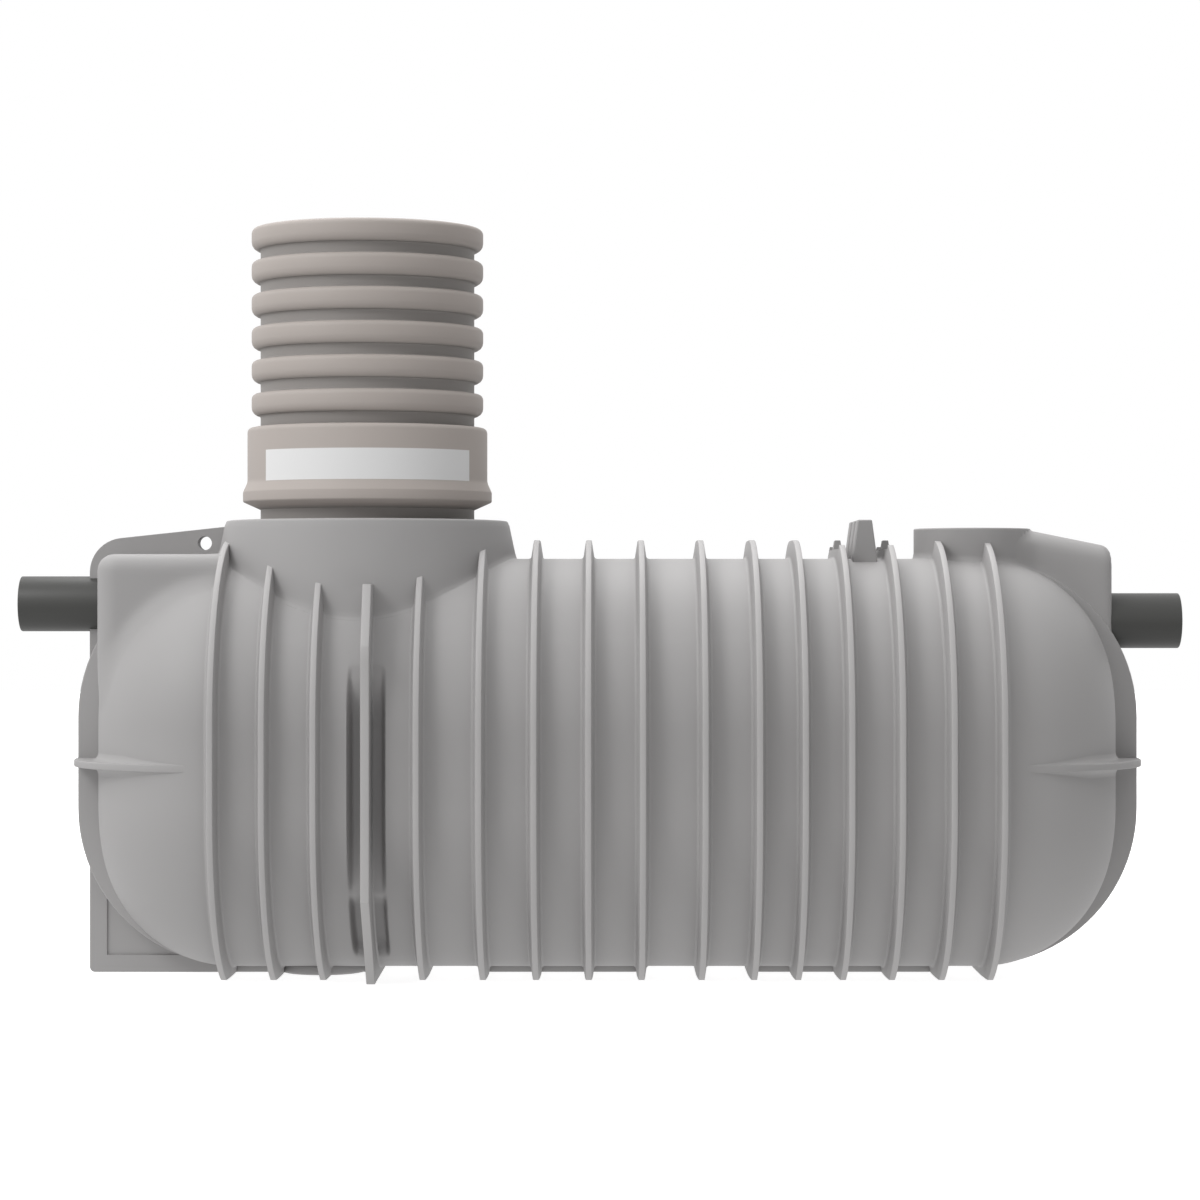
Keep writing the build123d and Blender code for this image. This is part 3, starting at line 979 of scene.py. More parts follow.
    def outlet_end_skin(self, at: Points) -> Points:
        """Distance from the outlet dome with its housing, which swells out of the turret.

        Args:
            at: The places to measure from.

        Returns:
            The distances, below 0 inside.
        """
        turret = np.maximum(self.outlet_turret.distance(at) + self.under_turret,
                            self.section.axis - at[..., 2])
        blend = np.clip(self.outlet_turret.top - at[..., 2], self.crest_blend, self.turret_blend)
        above = self.fillet(turret, self.outlet_box(at), blend)
        return self.fillet(self.tank(at), above, self.outlet_blend)

    @staticmethod
    def settle_on(distance: Distance, at: Points, rounds: int = 12) -> Points:
        """Move places onto a skin along the skin's own slope.

        Args:
            distance: The function that measures the distance to the skin.
            at: The places to move.
            rounds: How many moves each place may make.

        Returns:
            The moved places.
        """
        at = at.copy()
        step, least_slope = 1e-4, 0.25
        for _ in range(rounds):
            here = distance(at)
            slope = np.stack([(distance(at + offset) - here) / step
                              for offset in np.eye(3) * step], axis=-1)
            size = np.maximum((slope ** 2).sum(-1), least_slope)
            at -= slope * (here / size)[..., None]
        return at

    @staticmethod
    def reach_out(distance: Distance, centre: Points, heading: Points, far: float,
                  halvings: int = 26) -> Points:
        """Go from inside the body along each heading until the skin is met.

        Args:
            distance: The function that measures the distance to the skin.
            centre: Where the rays start, one place or one for each heading.
            heading: The unit headings.
            far: How far out the skin can lie at most.
            halvings: How many times the search narrows down by half.

        Returns:
            The places where the rays leave the body.
        """
        near = np.zeros(heading.shape[:-1])
        away = np.full(heading.shape[:-1], far)
        for _ in range(halvings):
            half = (near + away) / 2
            inside = distance(centre + heading * half[..., None]) < 0
            near = np.where(inside, half, near)
            away = np.where(inside, away, half)
        return centre + heading * ((near + away) / 2)[..., None]


@dataclass
class RibSet:
    """The ribs round the barrel, each with a drafted web, a rounded edge and a root fillet."""

    section: Section
    count: int = 16
    stout: int = 4
    root_fillet: float = 0.009
    edge_rounding: float = 0.0015
    sunk: float = 0.006
    corner_steps: int = 22
    edge: float = 0.016
    root: float = 0.030
    notched: tuple[int, ...] = (13, 14)
    notch_reach: tuple[float, float] = (0.020, 0.195)
    notch_floor: float = 0.027
    notch_tool: float = 0.1
    fillet_steps: int = 5
    rim_share: float = 0.3
    whole_rib: str = "rib_08"
    cut_below: float = 0.002
    height: float = field(init=False)

    def __post_init__(self) -> None:
        """Read the ribs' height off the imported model."""
        self.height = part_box(self.whole_rib)[1].y - self.section.half_width

    def profile(self) -> list[tuple[float, float]]:
        """Draw the rib's cut.

        Returns:
            The closed outline as (offset along the tank, height over the skin).
        """
        half_edge, half_root = self.edge / 2, self.root / 2
        fillet = self.root_fillet
        right: list[tuple[float, float]] = [(half_root + fillet, -self.sunk)]
        for step in range(self.fillet_steps + 1):
            turn = math.pi / 2 * step / self.fillet_steps
            right.append((half_root + fillet * (1 - math.sin(turn)),
                          fillet * (1 - math.cos(turn))))
        lean = (half_root - half_edge) / (self.height - fillet)
        rounding = self.edge_rounding
        right.append((half_edge + lean * rounding, self.height - rounding))
        right.append((half_edge - rounding * self.rim_share,
                      self.height - rounding * self.rim_share))
        right.append((half_edge - rounding, self.height))
        left = [(-x, z) for x, z in reversed(right)]
        return right + left

    def sweep(self, number: int, centre_x: float) -> bpy.types.Object:
        """Run the profile round the barrel by extruding the flats and spinning the corners.

        Args:
            number: The rib's number from the inlet.
            centre_x: Where the rib stands along the tank.

        Returns:
            The closed ring.
        """
        section = self.section
        top = section.axis + section.half_height
        corners = [(centre_x + x, -section.flat_y, top + z) for x, z in self.profile()]
        rib = Bench.draw(f"rib_{number:02d}_ring", corners + corners[:1])
        bpy.ops.mesh.select_all(action="SELECT")
        runs = [(0, 2 * section.flat_y, 0), (0, 0, -2 * section.flat_z),
                (0, -2 * section.flat_y, 0), (0, 0, 2 * section.flat_z)]
        centres = [(section.flat_y, section.flat_z), (section.flat_y, -section.flat_z),
                   (-section.flat_y, -section.flat_z), (-section.flat_y, section.flat_z)]
        for run, (y, z) in zip(runs, centres):
            bpy.ops.mesh.extrude_region_move(TRANSFORM_OT_translate={"value": run})
            bpy.ops.mesh.spin(steps=self.corner_steps, angle=math.pi / 2,
                              center=(centre_x, y, section.axis + z), axis=(1, 0, 0))
        bpy.ops.mesh.select_all(action="SELECT")
        bpy.ops.mesh.remove_doubles(threshold=WELD)
        return rib

    def notch(self, rib: bpy.types.Object, centre_x: float) -> None:
        """Cut the strap's notch out of a rib's crest on both sides of its middle.

        Args:
            rib: The rib to cut.
            centre_x: Where the rib stands along the tank.
        """
        top = self.section.axis + self.section.half_height
        inner, outer = self.notch_reach
        for side in (-1, 1):
            Bench.clear()
            bpy.ops.mesh.primitive_cube_add(
                size=1, location=(centre_x, side * (inner + outer) / 2,
                                  top + self.notch_floor + self.notch_tool),
                scale=(self.notch_tool, outer - inner, 2 * self.notch_tool))
            Bench.cut_with(rib, bpy.context.active_object)

    def crest_of(self, rib: bpy.types.Object) -> Points:
        """Find the faces on the rib's outer rim.

        Args:
            rib: The finished rib.

        Returns:
            For each face, whether it lies there.
        """
        section, centres = self.section, face_centres(rib)
        aside = np.maximum(np.abs(centres[:, 1]) - section.flat_y, 0)
        raised = np.maximum(np.abs(centres[:, 2] - section.axis) - section.flat_z, 0)
        return np.hypot(aside, raised) > section.corner + self.height - 2 * self.edge_rounding

    def build(self, material: bpy.types.Material, crest: bpy.types.Material,
              tools: "Tools") -> None:
        """Make every plain rib and cut it where the necks stand.

        Args:
            material: The tank's material.
            crest: The material of the highlight painted on the crests.
            tools: The closed bodies that trim the ribs.
        """
        for number in range(1, self.count + 1):
            if number == self.stout:
                continue
            node = f"rib_{number:02d}"
            rib = self.sweep(number, middle_of(node).x)
            Bench.clean(rib)
            Bench.cut_below_ground(rib)
            low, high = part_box(node)
            if high.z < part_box(self.whole_rib)[1].z - self.cut_below:
                for tool in tools.over(low.x, high.x):
                    Bench.subtract(rib, tool)
            if number in self.notched:
                self.notch(rib, middle_of(node).x)
            Bench.clean(rib, RIB_CREASE)
            settle(rib, TANK_GREY, material, node)
            # The crest faces get a painted highlight: a paler grey that stands in for light on
            # them.
            paint_highlight(rib, self.crest_of(rib), crest)


@dataclass
class Tools:
    """Closed bodies that trim other pieces and are thrown away at the end."""

    made: list[bpy.types.Object] = field(default_factory=list)

    def add(self, tool: bpy.types.Object) -> bpy.types.Object:
        """Keep a tool."""
        self.made.append(tool)
        return tool

    def over(self, low_x: float, high_x: float) -> list[bpy.types.Object]:
        """Find the tools that stand between two places along the tank.

        Args:
            low_x: The place nearer the inlet.
            high_x: The place nearer the outlet.

        Returns:
            Those that reach into the stretch.
        """
        found = []
        for tool in self.made:
            along = [corner[0] for corner in tool.bound_box]
            if min(along) < high_x and max(along) > low_x:
                found.append(tool)
        return found

    def discard(self) -> None:
        """Delete every tool."""
        for tool in self.made:
            bpy.data.objects.remove(tool)
        self.made.clear()


@dataclass
class RiserShaft:
    """The corrugated riser shaft with its socket collar and the collar's bare strip."""

    groove: float = 0.310
    ring: float = 0.336
    bore: float = 0.300
    pitch: float = 0.096
    ring_length: float = 0.064
    rings: int = 6
    lip: float = 0.361
    barrel: float = 0.348
    groove_fillet: float = 0.006
    ring_foot_rounding: float = 0.024
    ring_top_rounding: float = 0.015
    rim_rounding: float = 0.008
    lip_rise: tuple[float, float] = (0.023, 0.051)
    barrel_rise: float = 0.080
    strip_reach: tuple[float, float] = (-52.0, 60.0)
    strip_rise: tuple[float, float] = (0.079, 0.167)
    strip_steps: tuple[int, int] = (4, 49)
    strip_wall: float = 0.0012
    # Where the painted groove shade fades in, and how dark it is.
    shade_inset: tuple[float, float] = (0.002, 0.004)
    shade_tone: tuple[float, float, float] = (0.74, 0.77, 0.79)
    facets: int = 128

    def shade(self) -> PaintedShade:
        """Set out the shade painted into the colour down in the shaft's grooves.

        Returns:
            The painted shade, about the shaft's own axis.
        """
        low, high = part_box("riser")
        return PaintedShade((low.x + high.x) / 2, self.groove + self.shade_inset[0],
                    self.ring - self.shade_inset[1], self.shade_tone)

    def shaft_profile(self, foot: float, top: float) -> list[tuple[float, float]]:
        """Draw the shaft's cut from its foot up the outside, over the rim and down the bore.

        Args:
            foot: The height of the shaft's foot.
            top: The height of its rim.

        Returns:
            The closed outline as (radius, height).
        """
        corners: list[tuple[float, float, float]] = [(self.groove, foot, 0.0)]
        for ring in reversed(range(self.rings)):
            ring_top = top - ring * self.pitch
            ring_foot = ring_top - self.ring_length
            corners.append((self.groove, ring_foot, self.groove_fillet))
            corners.append((self.ring, ring_foot, self.ring_foot_rounding))
            corners.append((self.ring, ring_top, self.ring_top_rounding))
            if ring:
                corners.append((self.groove, ring_top, self.groove_fillet))
        corners.append((self.bore, top, self.rim_rounding))
        corners.append((self.bore, foot, 0.0))
        return rounded(corners)

    def collar_profile(self, low: float, high: float) -> list[tuple[float, float]]:
        """Draw the collar's cut: a straight barrel over a flared lip that tapers in below.

        Args:
            low: The height of the collar's foot.
            high: The height of its top.

        Returns:
            The closed outline as (radius, height).
        """
        corners = [
            (self.groove, low, 0.0),
            (self.lip, low + self.lip_rise[0], 0.006),
            (self.lip, low + self.lip_rise[1], 0.008),
            (self.barrel, low + self.barrel_rise, 0.036),
            (self.barrel, high, 0.014),
            (self.groove, high, 0.004),
        ]
        return rounded(corners)

    def strip(self, centre_x: float, low: float, high: float) -> bpy.types.Object:
        """Bend a thin bare plate round the collar's front.

        Args:
            centre_x: Where the collar's axis stands along the tank.
            low: The height of the strip's foot.
            high: The height of its top.

        Returns:
            The open plate, in object mode.
        """
        rows, columns = self.strip_steps
        turns = np.radians(np.linspace(*self.strip_reach, columns))
        radius = self.barrel + self.strip_wall
        heights = np.linspace(low, high, rows)
        places = np.empty((len(heights), len(turns), 3))
        places[..., 0] = centre_x + radius * np.sin(turns)[None, :]
        places[..., 1] = -radius * np.cos(turns)[None, :]
        places[..., 2] = heights[:, None]
        plate = Bench.skin("collar_bare_strip", places)
        Bench.clean(plate)
        return plate

    def build(self, riser: bpy.types.Material, bare: bpy.types.Material) -> None:
        """Make the shaft, the collar and the strip.

        Args:
            riser: The taupe plastic's material.
            bare: The pale strip's material.
        """
        low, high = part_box("riser")
        centre_x = (low.x + high.x) / 2
        shaft = Bench.spin_up("riser_shaft", self.shaft_profile(low.z, high.z), centre_x,
                               self.facets)
        settle(shaft, RISER_TAUPE, riser, "riser")
        collar_low, collar_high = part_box("riser_collar")
        collar = Bench.spin_up("riser_socket_collar",
                               self.collar_profile(collar_low.z, collar_high.z), centre_x,
                               self.facets)
        settle(collar, RISER_TAUPE, riser, "riser_collar")
        plate = self.strip(centre_x, *(collar_low.z + rise for rise in self.strip_rise))
        Bench.thicken(plate, self.strip_wall)
        Bench.clean(plate, CRISP_CREASE)
        settle(plate, BARE_STRIP, bare)


@dataclass
class PipeStub:
    """One drain pipe stub with a small bevel on its free end."""

    end: End
    radius: float = 0.080
    wall: float = 0.005
    chamfer: float = 0.003
    inner_chamfer: float = 0.0015
    facets: int = 64

    def build(self, material: bpy.types.Material) -> None:
        """Turn the tube's cut about the pipe's axis.

        Args:
            material: The dark pipe material.
        """
        node = "inlet_pipe" if self.end is End.INLET else "outlet_pipe"
        low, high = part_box(node)
        height = (low.z + high.z) / 2
        mouth, tail = (low.x, high.x) if self.end is End.INLET else (high.x, low.x)
        corners = [(tail, self.radius - self.wall, 0.0), (tail, self.radius, 0.0),
                   (mouth, self.radius, self.chamfer),
                   (mouth, self.radius - self.wall, self.inner_chamfer)]
        outline = rounded(corners, 4)
        places = [(x, 0.0, height + radius) for x, radius in outline]
        tube = Bench.draw(f"{node}_tube", places + places[:1])
        bpy.ops.mesh.select_all(action="SELECT")
        bpy.ops.mesh.spin(steps=self.facets, angle=2 * math.pi, center=(0, 0, height),
                          axis=(1, 0, 0))
        Bench.clean(tube)
        settle(tube, PIPE_GREY, material, node)


@dataclass
class EndCap:
    """One end of the tank: its dome and its housing in one blended skin."""

    mould: Mould
    end: End
    turret: Turret
    wall: float = 0.012
    around: int = 380
    rows: int = 104
    crowding: float = 0.62
    pole_gap: float = 0.004
    reach: float = 1.2
    opening_rise: float = 0.25

    def skin(self, at: Points) -> Points:
        """Distance from this end's dome and housing.

        Args:
            at: The places to measure from.

        Returns:
            The distances, below 0 inside.
        """
        if self.end is End.INLET:
            return self.mould.inlet_end_skin(at)
        return self.mould.outlet_end_skin(at)

    def places(self) -> Points:
        """Send rays out from the middle of the dome's rim, crowded at the top.

        Returns:
            Where they leave the skin, row by row from the rim to the pole.
        """
        mould = self.mould
        rim = mould.start if self.end is End.INLET else mould.stop
        centre = np.array([rim, 0.0, mould.section.axis])
        turn = np.linspace(0, 2 * math.pi, self.around, endpoint=False)
        turn = turn - self.crowding * np.sin(turn)
        lift = np.linspace(0, math.pi / 2 - self.pole_gap, self.rows)
        heading = np.empty((self.rows, self.around, 3))
        heading[..., 0] = self.end.value * np.sin(lift)[:, None]
        heading[..., 1] = np.cos(lift)[:, None] * np.sin(turn)[None, :]
        heading[..., 2] = np.cos(lift)[:, None] * np.cos(turn)[None, :]
        return mould.reach_out(self.skin, centre, heading, self.reach)

    def open_under_turret(self, sheet: bpy.types.Object) -> None:
        """Take away what lies inside the turret's wall, so that the tank is open upwards.

        Args:
            sheet: The laid skin.
        """
        centres = face_centres(sheet)
        inside = self.turret.distance(centres) < -self.wall / 2
        above = centres[:, 2] > self.mould.section.axis + self.opening_rise
        Bench.edit(sheet, "DESELECT")
        bpy.ops.object.mode_set(mode="OBJECT")
        for face, gone in zip(sheet.data.polygons, inside & above):
            face.select = bool(gone)
        bpy.ops.object.mode_set(mode="EDIT")
        bpy.ops.mesh.delete(type="FACE")
        bpy.ops.object.mode_set(mode="OBJECT")

    def build(self, material: bpy.types.Material) -> None:
        """Lay the skin, open it under the turret at the inlet end, and give it its wall.

        Args:
            material: The tank's material.
        """
        side = self.end.name.lower()
        sheet = Bench.skin(f"{side}_end_skin", self.places(), wrap=True)
        Bench.clean(sheet, SKIN_CREASE)
        if self.end is End.INLET:
            self.open_under_turret(sheet)
        Bench.thicken(sheet, self.wall)
        Bench.clean(sheet, SKIN_CREASE)
        settle(sheet, TANK_GREY, material, f"{side}_dome", f"{side}_housing")


@dataclass
class TurretSkin:
    """A neck in one skin: plate, rounded rim, wall, root fillet and a skirt on the tank."""

    mould: Mould
    turret: Turret
    cap: EndCap
    wall: float = 0.012
    around: int = 256
    least_opening: float = 0.002
    lip_inset: float = 0.004
    rim_inset: float = 0.02
    rim_steps: int = 5
    wall_rows: int = 16
    foot_lift: float = 0.016
    skirt: tuple[float, ...] = (0.0, 0.003, 0.006, 0.010, 0.015, 0.021)
    skirt_sunk: float = 0.003
    halvings: int = 30
    trim_around: int = 128
    trim_inset: float = 0.004
    trim_foot: float = 0.2
    trim_drop: float = 0.008

    @staticmethod
    def headings(count: int) -> Points:
        """Level unit headings all round an upright axis."""
        turn = np.linspace(0, 2 * math.pi, count, endpoint=False)
        return np.stack([np.cos(turn), np.sin(turn)], axis=1)

    def ground(self, at: Points) -> Points:
        """Distance from what the turret stands on."""
        return self.cap.skin(at) if self.cap.end is End.INLET else self.mould.tank(at)

    def joined(self, at: Points) -> Points:
        """Distance from the turret, blended with what it stands on."""
        return self.mould.fillet(self.ground(at), self.turret.distance(at), self.turret.fillet)

    def foot(self, out: Points) -> Points:
        """Find where the wall meets the tank.

        Args:
            out: Level unit headings about the turret's axis.

        Returns:
            One place on the skin for each heading.
        """
        low = np.full(len(out), self.mould.section.axis)
        high = np.full(len(out), self.turret.top)
        for _ in range(self.halvings):
            height = (low + high) / 2
            inside = self.ground(self.turret.wall_at(out, height)) < 0
            low = np.where(inside, height, low)
            high = np.where(inside, high, height)
        return self.turret.wall_at(out, (low + high) / 2)

    def rows(self, out: Points) -> Points:
        """Lay all the rings of the skin, from the plate's underside round to it again.

        Args:
            out: Level unit headings about the turret's axis.

        Returns:
            Rings by headings by three coordinates.
        """
        turret = self.turret
        inner = max(turret.opening, self.least_opening)
        foot = self.foot(out)
        rows = [turret.ring(out, inner, turret.top - self.wall),
                turret.ring(out, inner, turret.top)]
        for radius in (inner + self.lip_inset, (inner + turret.radius) / 2,
                       turret.radius - self.rim_inset):
            rows.append(turret.ring(out, radius, turret.top))
        for turned in np.linspace(0, math.pi / 2, self.rim_steps):
            radius = turret.radius - turret.rounding * (1 - math.sin(turned))
            height = turret.top - turret.rounding * (1 - math.cos(turned))
            rows.append(turret.ring(out, radius, height))
        fixed = len(rows)
        start = rows[-1]
        above = foot + (0, 0, self.foot_lift)
        for share in np.linspace(0, 1, self.wall_rows)[1:]:
            rows.append(start + (above - start) * share)
        spread = np.concatenate([out, np.zeros((len(out), 1))], axis=1)
        for reach in self.skirt:
            rows.append(foot + spread * reach)
        laid = np.array(rows)
        laid[fixed:] = self.mould.settle_on(self.joined, laid[fixed:])
        sunk = laid[-1:] - (0, 0, self.skirt_sunk)
        low = foot - spread * self.wall - (0, 0, self.wall)
        high = turret.ring(out, turret.radius - self.wall, turret.top - self.wall)
        plate = turret.ring(out, inner, turret.top - self.wall)
        return np.concatenate([laid, sunk, [low, high, plate]])

    def build(self, material: bpy.types.Material) -> None:
        """Lay the skin.

        Args:
            material: The tank's material.
        """
        neck = Bench.skin(f"{self.turret.name}_turret", self.rows(self.headings(self.around)),
                          wrap=True)
        Bench.clean(neck, NECK_CREASE)
        settle(neck, TANK_GREY, material, self.turret.name)

    def trimmer(self) -> bpy.types.Object:
        """Make a closed body just inside the wall that trims the ribs.

        Returns:
            The body, in object mode.
        """
        out = self.headings(self.trim_around)
        inward = np.concatenate([out, np.zeros((len(out), 1))], axis=1) * self.trim_inset
        rows = []
        for height in (self.mould.section.axis + self.trim_foot,
                       self.turret.top - self.trim_drop):
            rows.append(self.turret.wall_at(out, np.full(len(out), height)) - inward)
        tool = Bench.skin(f"{self.turret.name} trimmer", np.array(rows), wrap=True)
        Bench.edit(tool)
        bpy.ops.mesh.remove_doubles(threshold=WELD)
        Bench.close_ends(tool)
        return tool


@dataclass(frozen=True)
class Flange:
    """A flat plate that stands on the skin, with a fillet at its root and a rounded rim."""

    half: float
    root_fillet: float
    rounding: float
    sunk: float = 0.004
    steps: int = 4
    reach: float = 1.2
    least_height: float = 0.9

    def side(self, proud: Points) -> list[tuple[Points, Points]]:
        """One side of the plate's cut, from under the skin up to the rim.

        Args:
            proud: How far the rim stands out from the skin at each place along it.

        Returns:
            Pairs of offset from the middle plane and height over the skin.
        """
        share = np.clip(proud / (self.root_fillet + self.rounding), 0, 1)
        fillet, rounding = self.root_fillet * share, self.rounding * share
        rows = [(self.half + fillet, np.full_like(proud, -self.sunk))]
        for turn in np.linspace(0, math.pi / 2, self.steps + 1):
            rows.append((self.half + fillet * (1 - math.sin(turn)),
                         np.minimum(fillet * (1 - math.cos(turn)), proud)))
        for turn in np.linspace(0, math.pi / 2, self.steps):
            rows.append((self.half - rounding * (1 - math.cos(turn)),
                         proud - rounding * (1 - math.sin(turn))))
        return rows

    def lay(self, name: str, distance: Distance, centre: Points, normal: Points,
            rim: Points, closed: bool = False) -> bpy.types.Object:
        """Lay the plate's two sides, its rim and its root fillets.

        Args:
            name: The new object's name.
            distance: The function that measures the distance to the skin it stands on.
            centre: A place inside the body, on the plate's middle plane.
            normal: The unit normal of that plane.
            rim: Places along the rim, on the middle plane.
            closed: Whether the rim comes round to its first place again.

        Returns:
            The closed plate, in object mode.
        """
        reach = np.linalg.norm(rim - centre, axis=1)
        heading = (rim - centre) / reach[:, None]
        level = np.broadcast_to(centre + normal * (self.half + self.root_fillet), heading.shape)
        skin = Mould.reach_out(distance, level, heading, self.reach)
        foot = ((skin - level) * heading).sum(axis=1)
        proud = np.maximum(reach - foot, -self.least_height * self.sunk)
        base = centre + heading * foot[:, None]
        rows, others = [], []
        for offset, height in self.side(proud):
            place = base + heading * height[:, None]
            shift = normal * offset[:, None]
            rows.append(place + shift)
            others.append(place - shift)
        sheet = Bench.skin(name, np.array(rows + others[::-1] + rows[:1]), wrap=closed)
        Bench.clean(sheet, CRISP_CREASE)
        if not closed:
            Bench.close_ends(sheet)
            Bench.clean(sheet, CRISP_CREASE)
        return sheet


@dataclass
class StoutRib:
    """The flat-sided rib: a thick polygonal web that also fills its pockets' middle."""

    mould: Mould
    edge_rounding: float = 0.003
    root_fillet: float = 0.006
    half_outline: tuple[tuple[float, float], ...] = (
        (0.0, 0.512), (0.509, 0.512), (0.600, 0.337), (0.600, -0.360), (0.350, -0.611))
    side_steps: int = 18

    def loop(self) -> Points:
        """Set out places round the polygon, dense enough to follow the skin inside it.

        Returns:
            The places as (y, height over the tank's axis).
        """
        right = [np.array(corner) for corner in self.half_outline]
        left = [corner * (-1, 1) for corner in reversed(right[1:])]
        corners = right + [np.array([0.0, right[-1][1]])] + left
        loop = []
        for here, there in zip(corners, corners[1:] + corners[:1]):
            for share in np.linspace(0, 1, self.side_steps, endpoint=False):
                loop.append(here + (there - here) * share)
        return np.array(loop)

    def build(self, material: bpy.types.Material, crest: bpy.types.Material,
              tools: Tools) -> None:
        """Lay the web and trim it under the inlet neck.

        Args:
            material: The tank's material.
            crest: The material of the highlight painted on its crest.
            tools: The closed bodies that trim the ribs.
        """
        low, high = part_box("rib_04")
        middle, half = (low.x + high.x) / 2, (high.x - low.x) / 2
        outer = self.loop()
        centre = np.array([middle, 0.0, self.mould.section.axis])
        rim = np.concatenate([np.zeros((len(outer), 1)), outer], axis=1) + centre
        flange = Flange(half, self.root_fillet, self.edge_rounding)
        rib = flange.lay("rib_04_web", self.mould.pocketed, centre, np.array([1.0, 0.0, 0.0]),
                         rim, closed=True)
        for tool in tools.over(low.x, high.x):
            Bench.subtract(rib, tool)
        Bench.clean(rib, CRISP_CREASE)
        settle(rib, TANK_GREY, material, "rib_04")
        centres = face_centres(rib)
        rim_faces = np.abs(centres[:, 0] - middle) < half - self.edge_rounding / 2
        # The rim faces clear of the pockets get the painted highlight, a paler grey.
        paint_highlight(rib, rim_faces & (self.mould.pocketed(centres) > self.root_fillet), crest)


@dataclass
class BarrelTrough:
    """The barrel's front, underside and back in one skin, with soft pockets beside rib 4."""

    mould: Mould
    wall: float = 0.012
    corner_steps: int = 81
    flat_steps: int = 26
    split_degrees: float = 30.0
    near: float = 0.072
    low_pocket: tuple[float, float, float] = (-0.343, -0.545, 0.034)
    low_pocket_fades: tuple[float, float] = (3.0, 4.0)
    counts: tuple[int, int, int] = (12, 49, 34)
    reach: float = 1.0

    def stations(self) -> Points:
        """Space places along the tank, crowded where the pockets are.

        Returns:
            Their X coordinates, from the inlet to the outlet.
        """
        mould = self.mould
        few, many, more = self.counts
        fine = np.linspace(mould.stout_rib - self.near, mould.stout_rib + self.near, many)
        before = np.linspace(mould.start, fine[0], few)[:-1]
        after = np.linspace(fine[-1], mould.stop, more)[1:]
        return np.concatenate([before, fine, after])

    def low_pocket_depth(self, at: Points) -> Points:
        """How deep the pockets low on the round corners are.

        Args:
            at: The places to look at.

        Returns:
            The depths, 0 outside the pockets.
        """
        mould = self.mould
        top, foot, depth = self.low_pocket
        height = at[..., 2] - mould.section.axis
        along = mould.ease((mould.pocket_half_length - np.abs(at[..., 0] - mould.stout_rib))
                           / mould.pocket_soft)
        above, below = self.low_pocket_fades
        upper = mould.ease((top - height) / mould.pocket_soft / above)
        return depth * along * upper * mould.ease((height - foot) / mould.pocket_soft / below)

    def skin(self, at: Points) -> Points:
        """Distance from the barrel with all its pockets."""
        return np.maximum(self.mould.pocketed(at), self.mould.tank(at) + self.low_pocket_depth(at))

    def build(self, material: bpy.types.Material) -> None:
        """Lay the skin from the back's split line round under the tank to the front's.

        Args:
            material: The tank's material.
        """
        section = self.mould.section
        outline = section.outline(0.0, self.corner_steps, self.flat_steps)
        split = section.flat_z + section.corner * math.sin(math.radians(self.split_degrees))
        outline = outline[outline[:, 1] < section.axis + split + WELD]
        along = self.stations()
        places = np.empty((len(outline), len(along), 3))
        places[..., 0] = along[None, :]
        places[..., 1:] = outline[:, None, :]
        centre = np.zeros_like(places)
        centre[..., 0] = along[None, :]
        centre[..., 1] = np.clip(places[..., 1], -section.flat_y, section.flat_y)
        centre[..., 2] = section.axis + np.clip(places[..., 2] - section.axis,
                                                -section.flat_z, section.flat_z)
        heading = places - centre
        heading /= np.linalg.norm(heading, axis=-1)[..., None]
        sheet = Bench.skin("barrel_trough_skin",
                           Mould.reach_out(self.skin, centre, heading, self.reach))
        Bench.clean(sheet, SKIN_CREASE)
        Bench.outwards(sheet, section.axis)
        Bench.thicken(sheet, self.wall)
        Bench.clean(sheet, SKIN_CREASE)
        settle(sheet, TANK_GREY, material, "shell_front", "shell_back", "shell_floor")


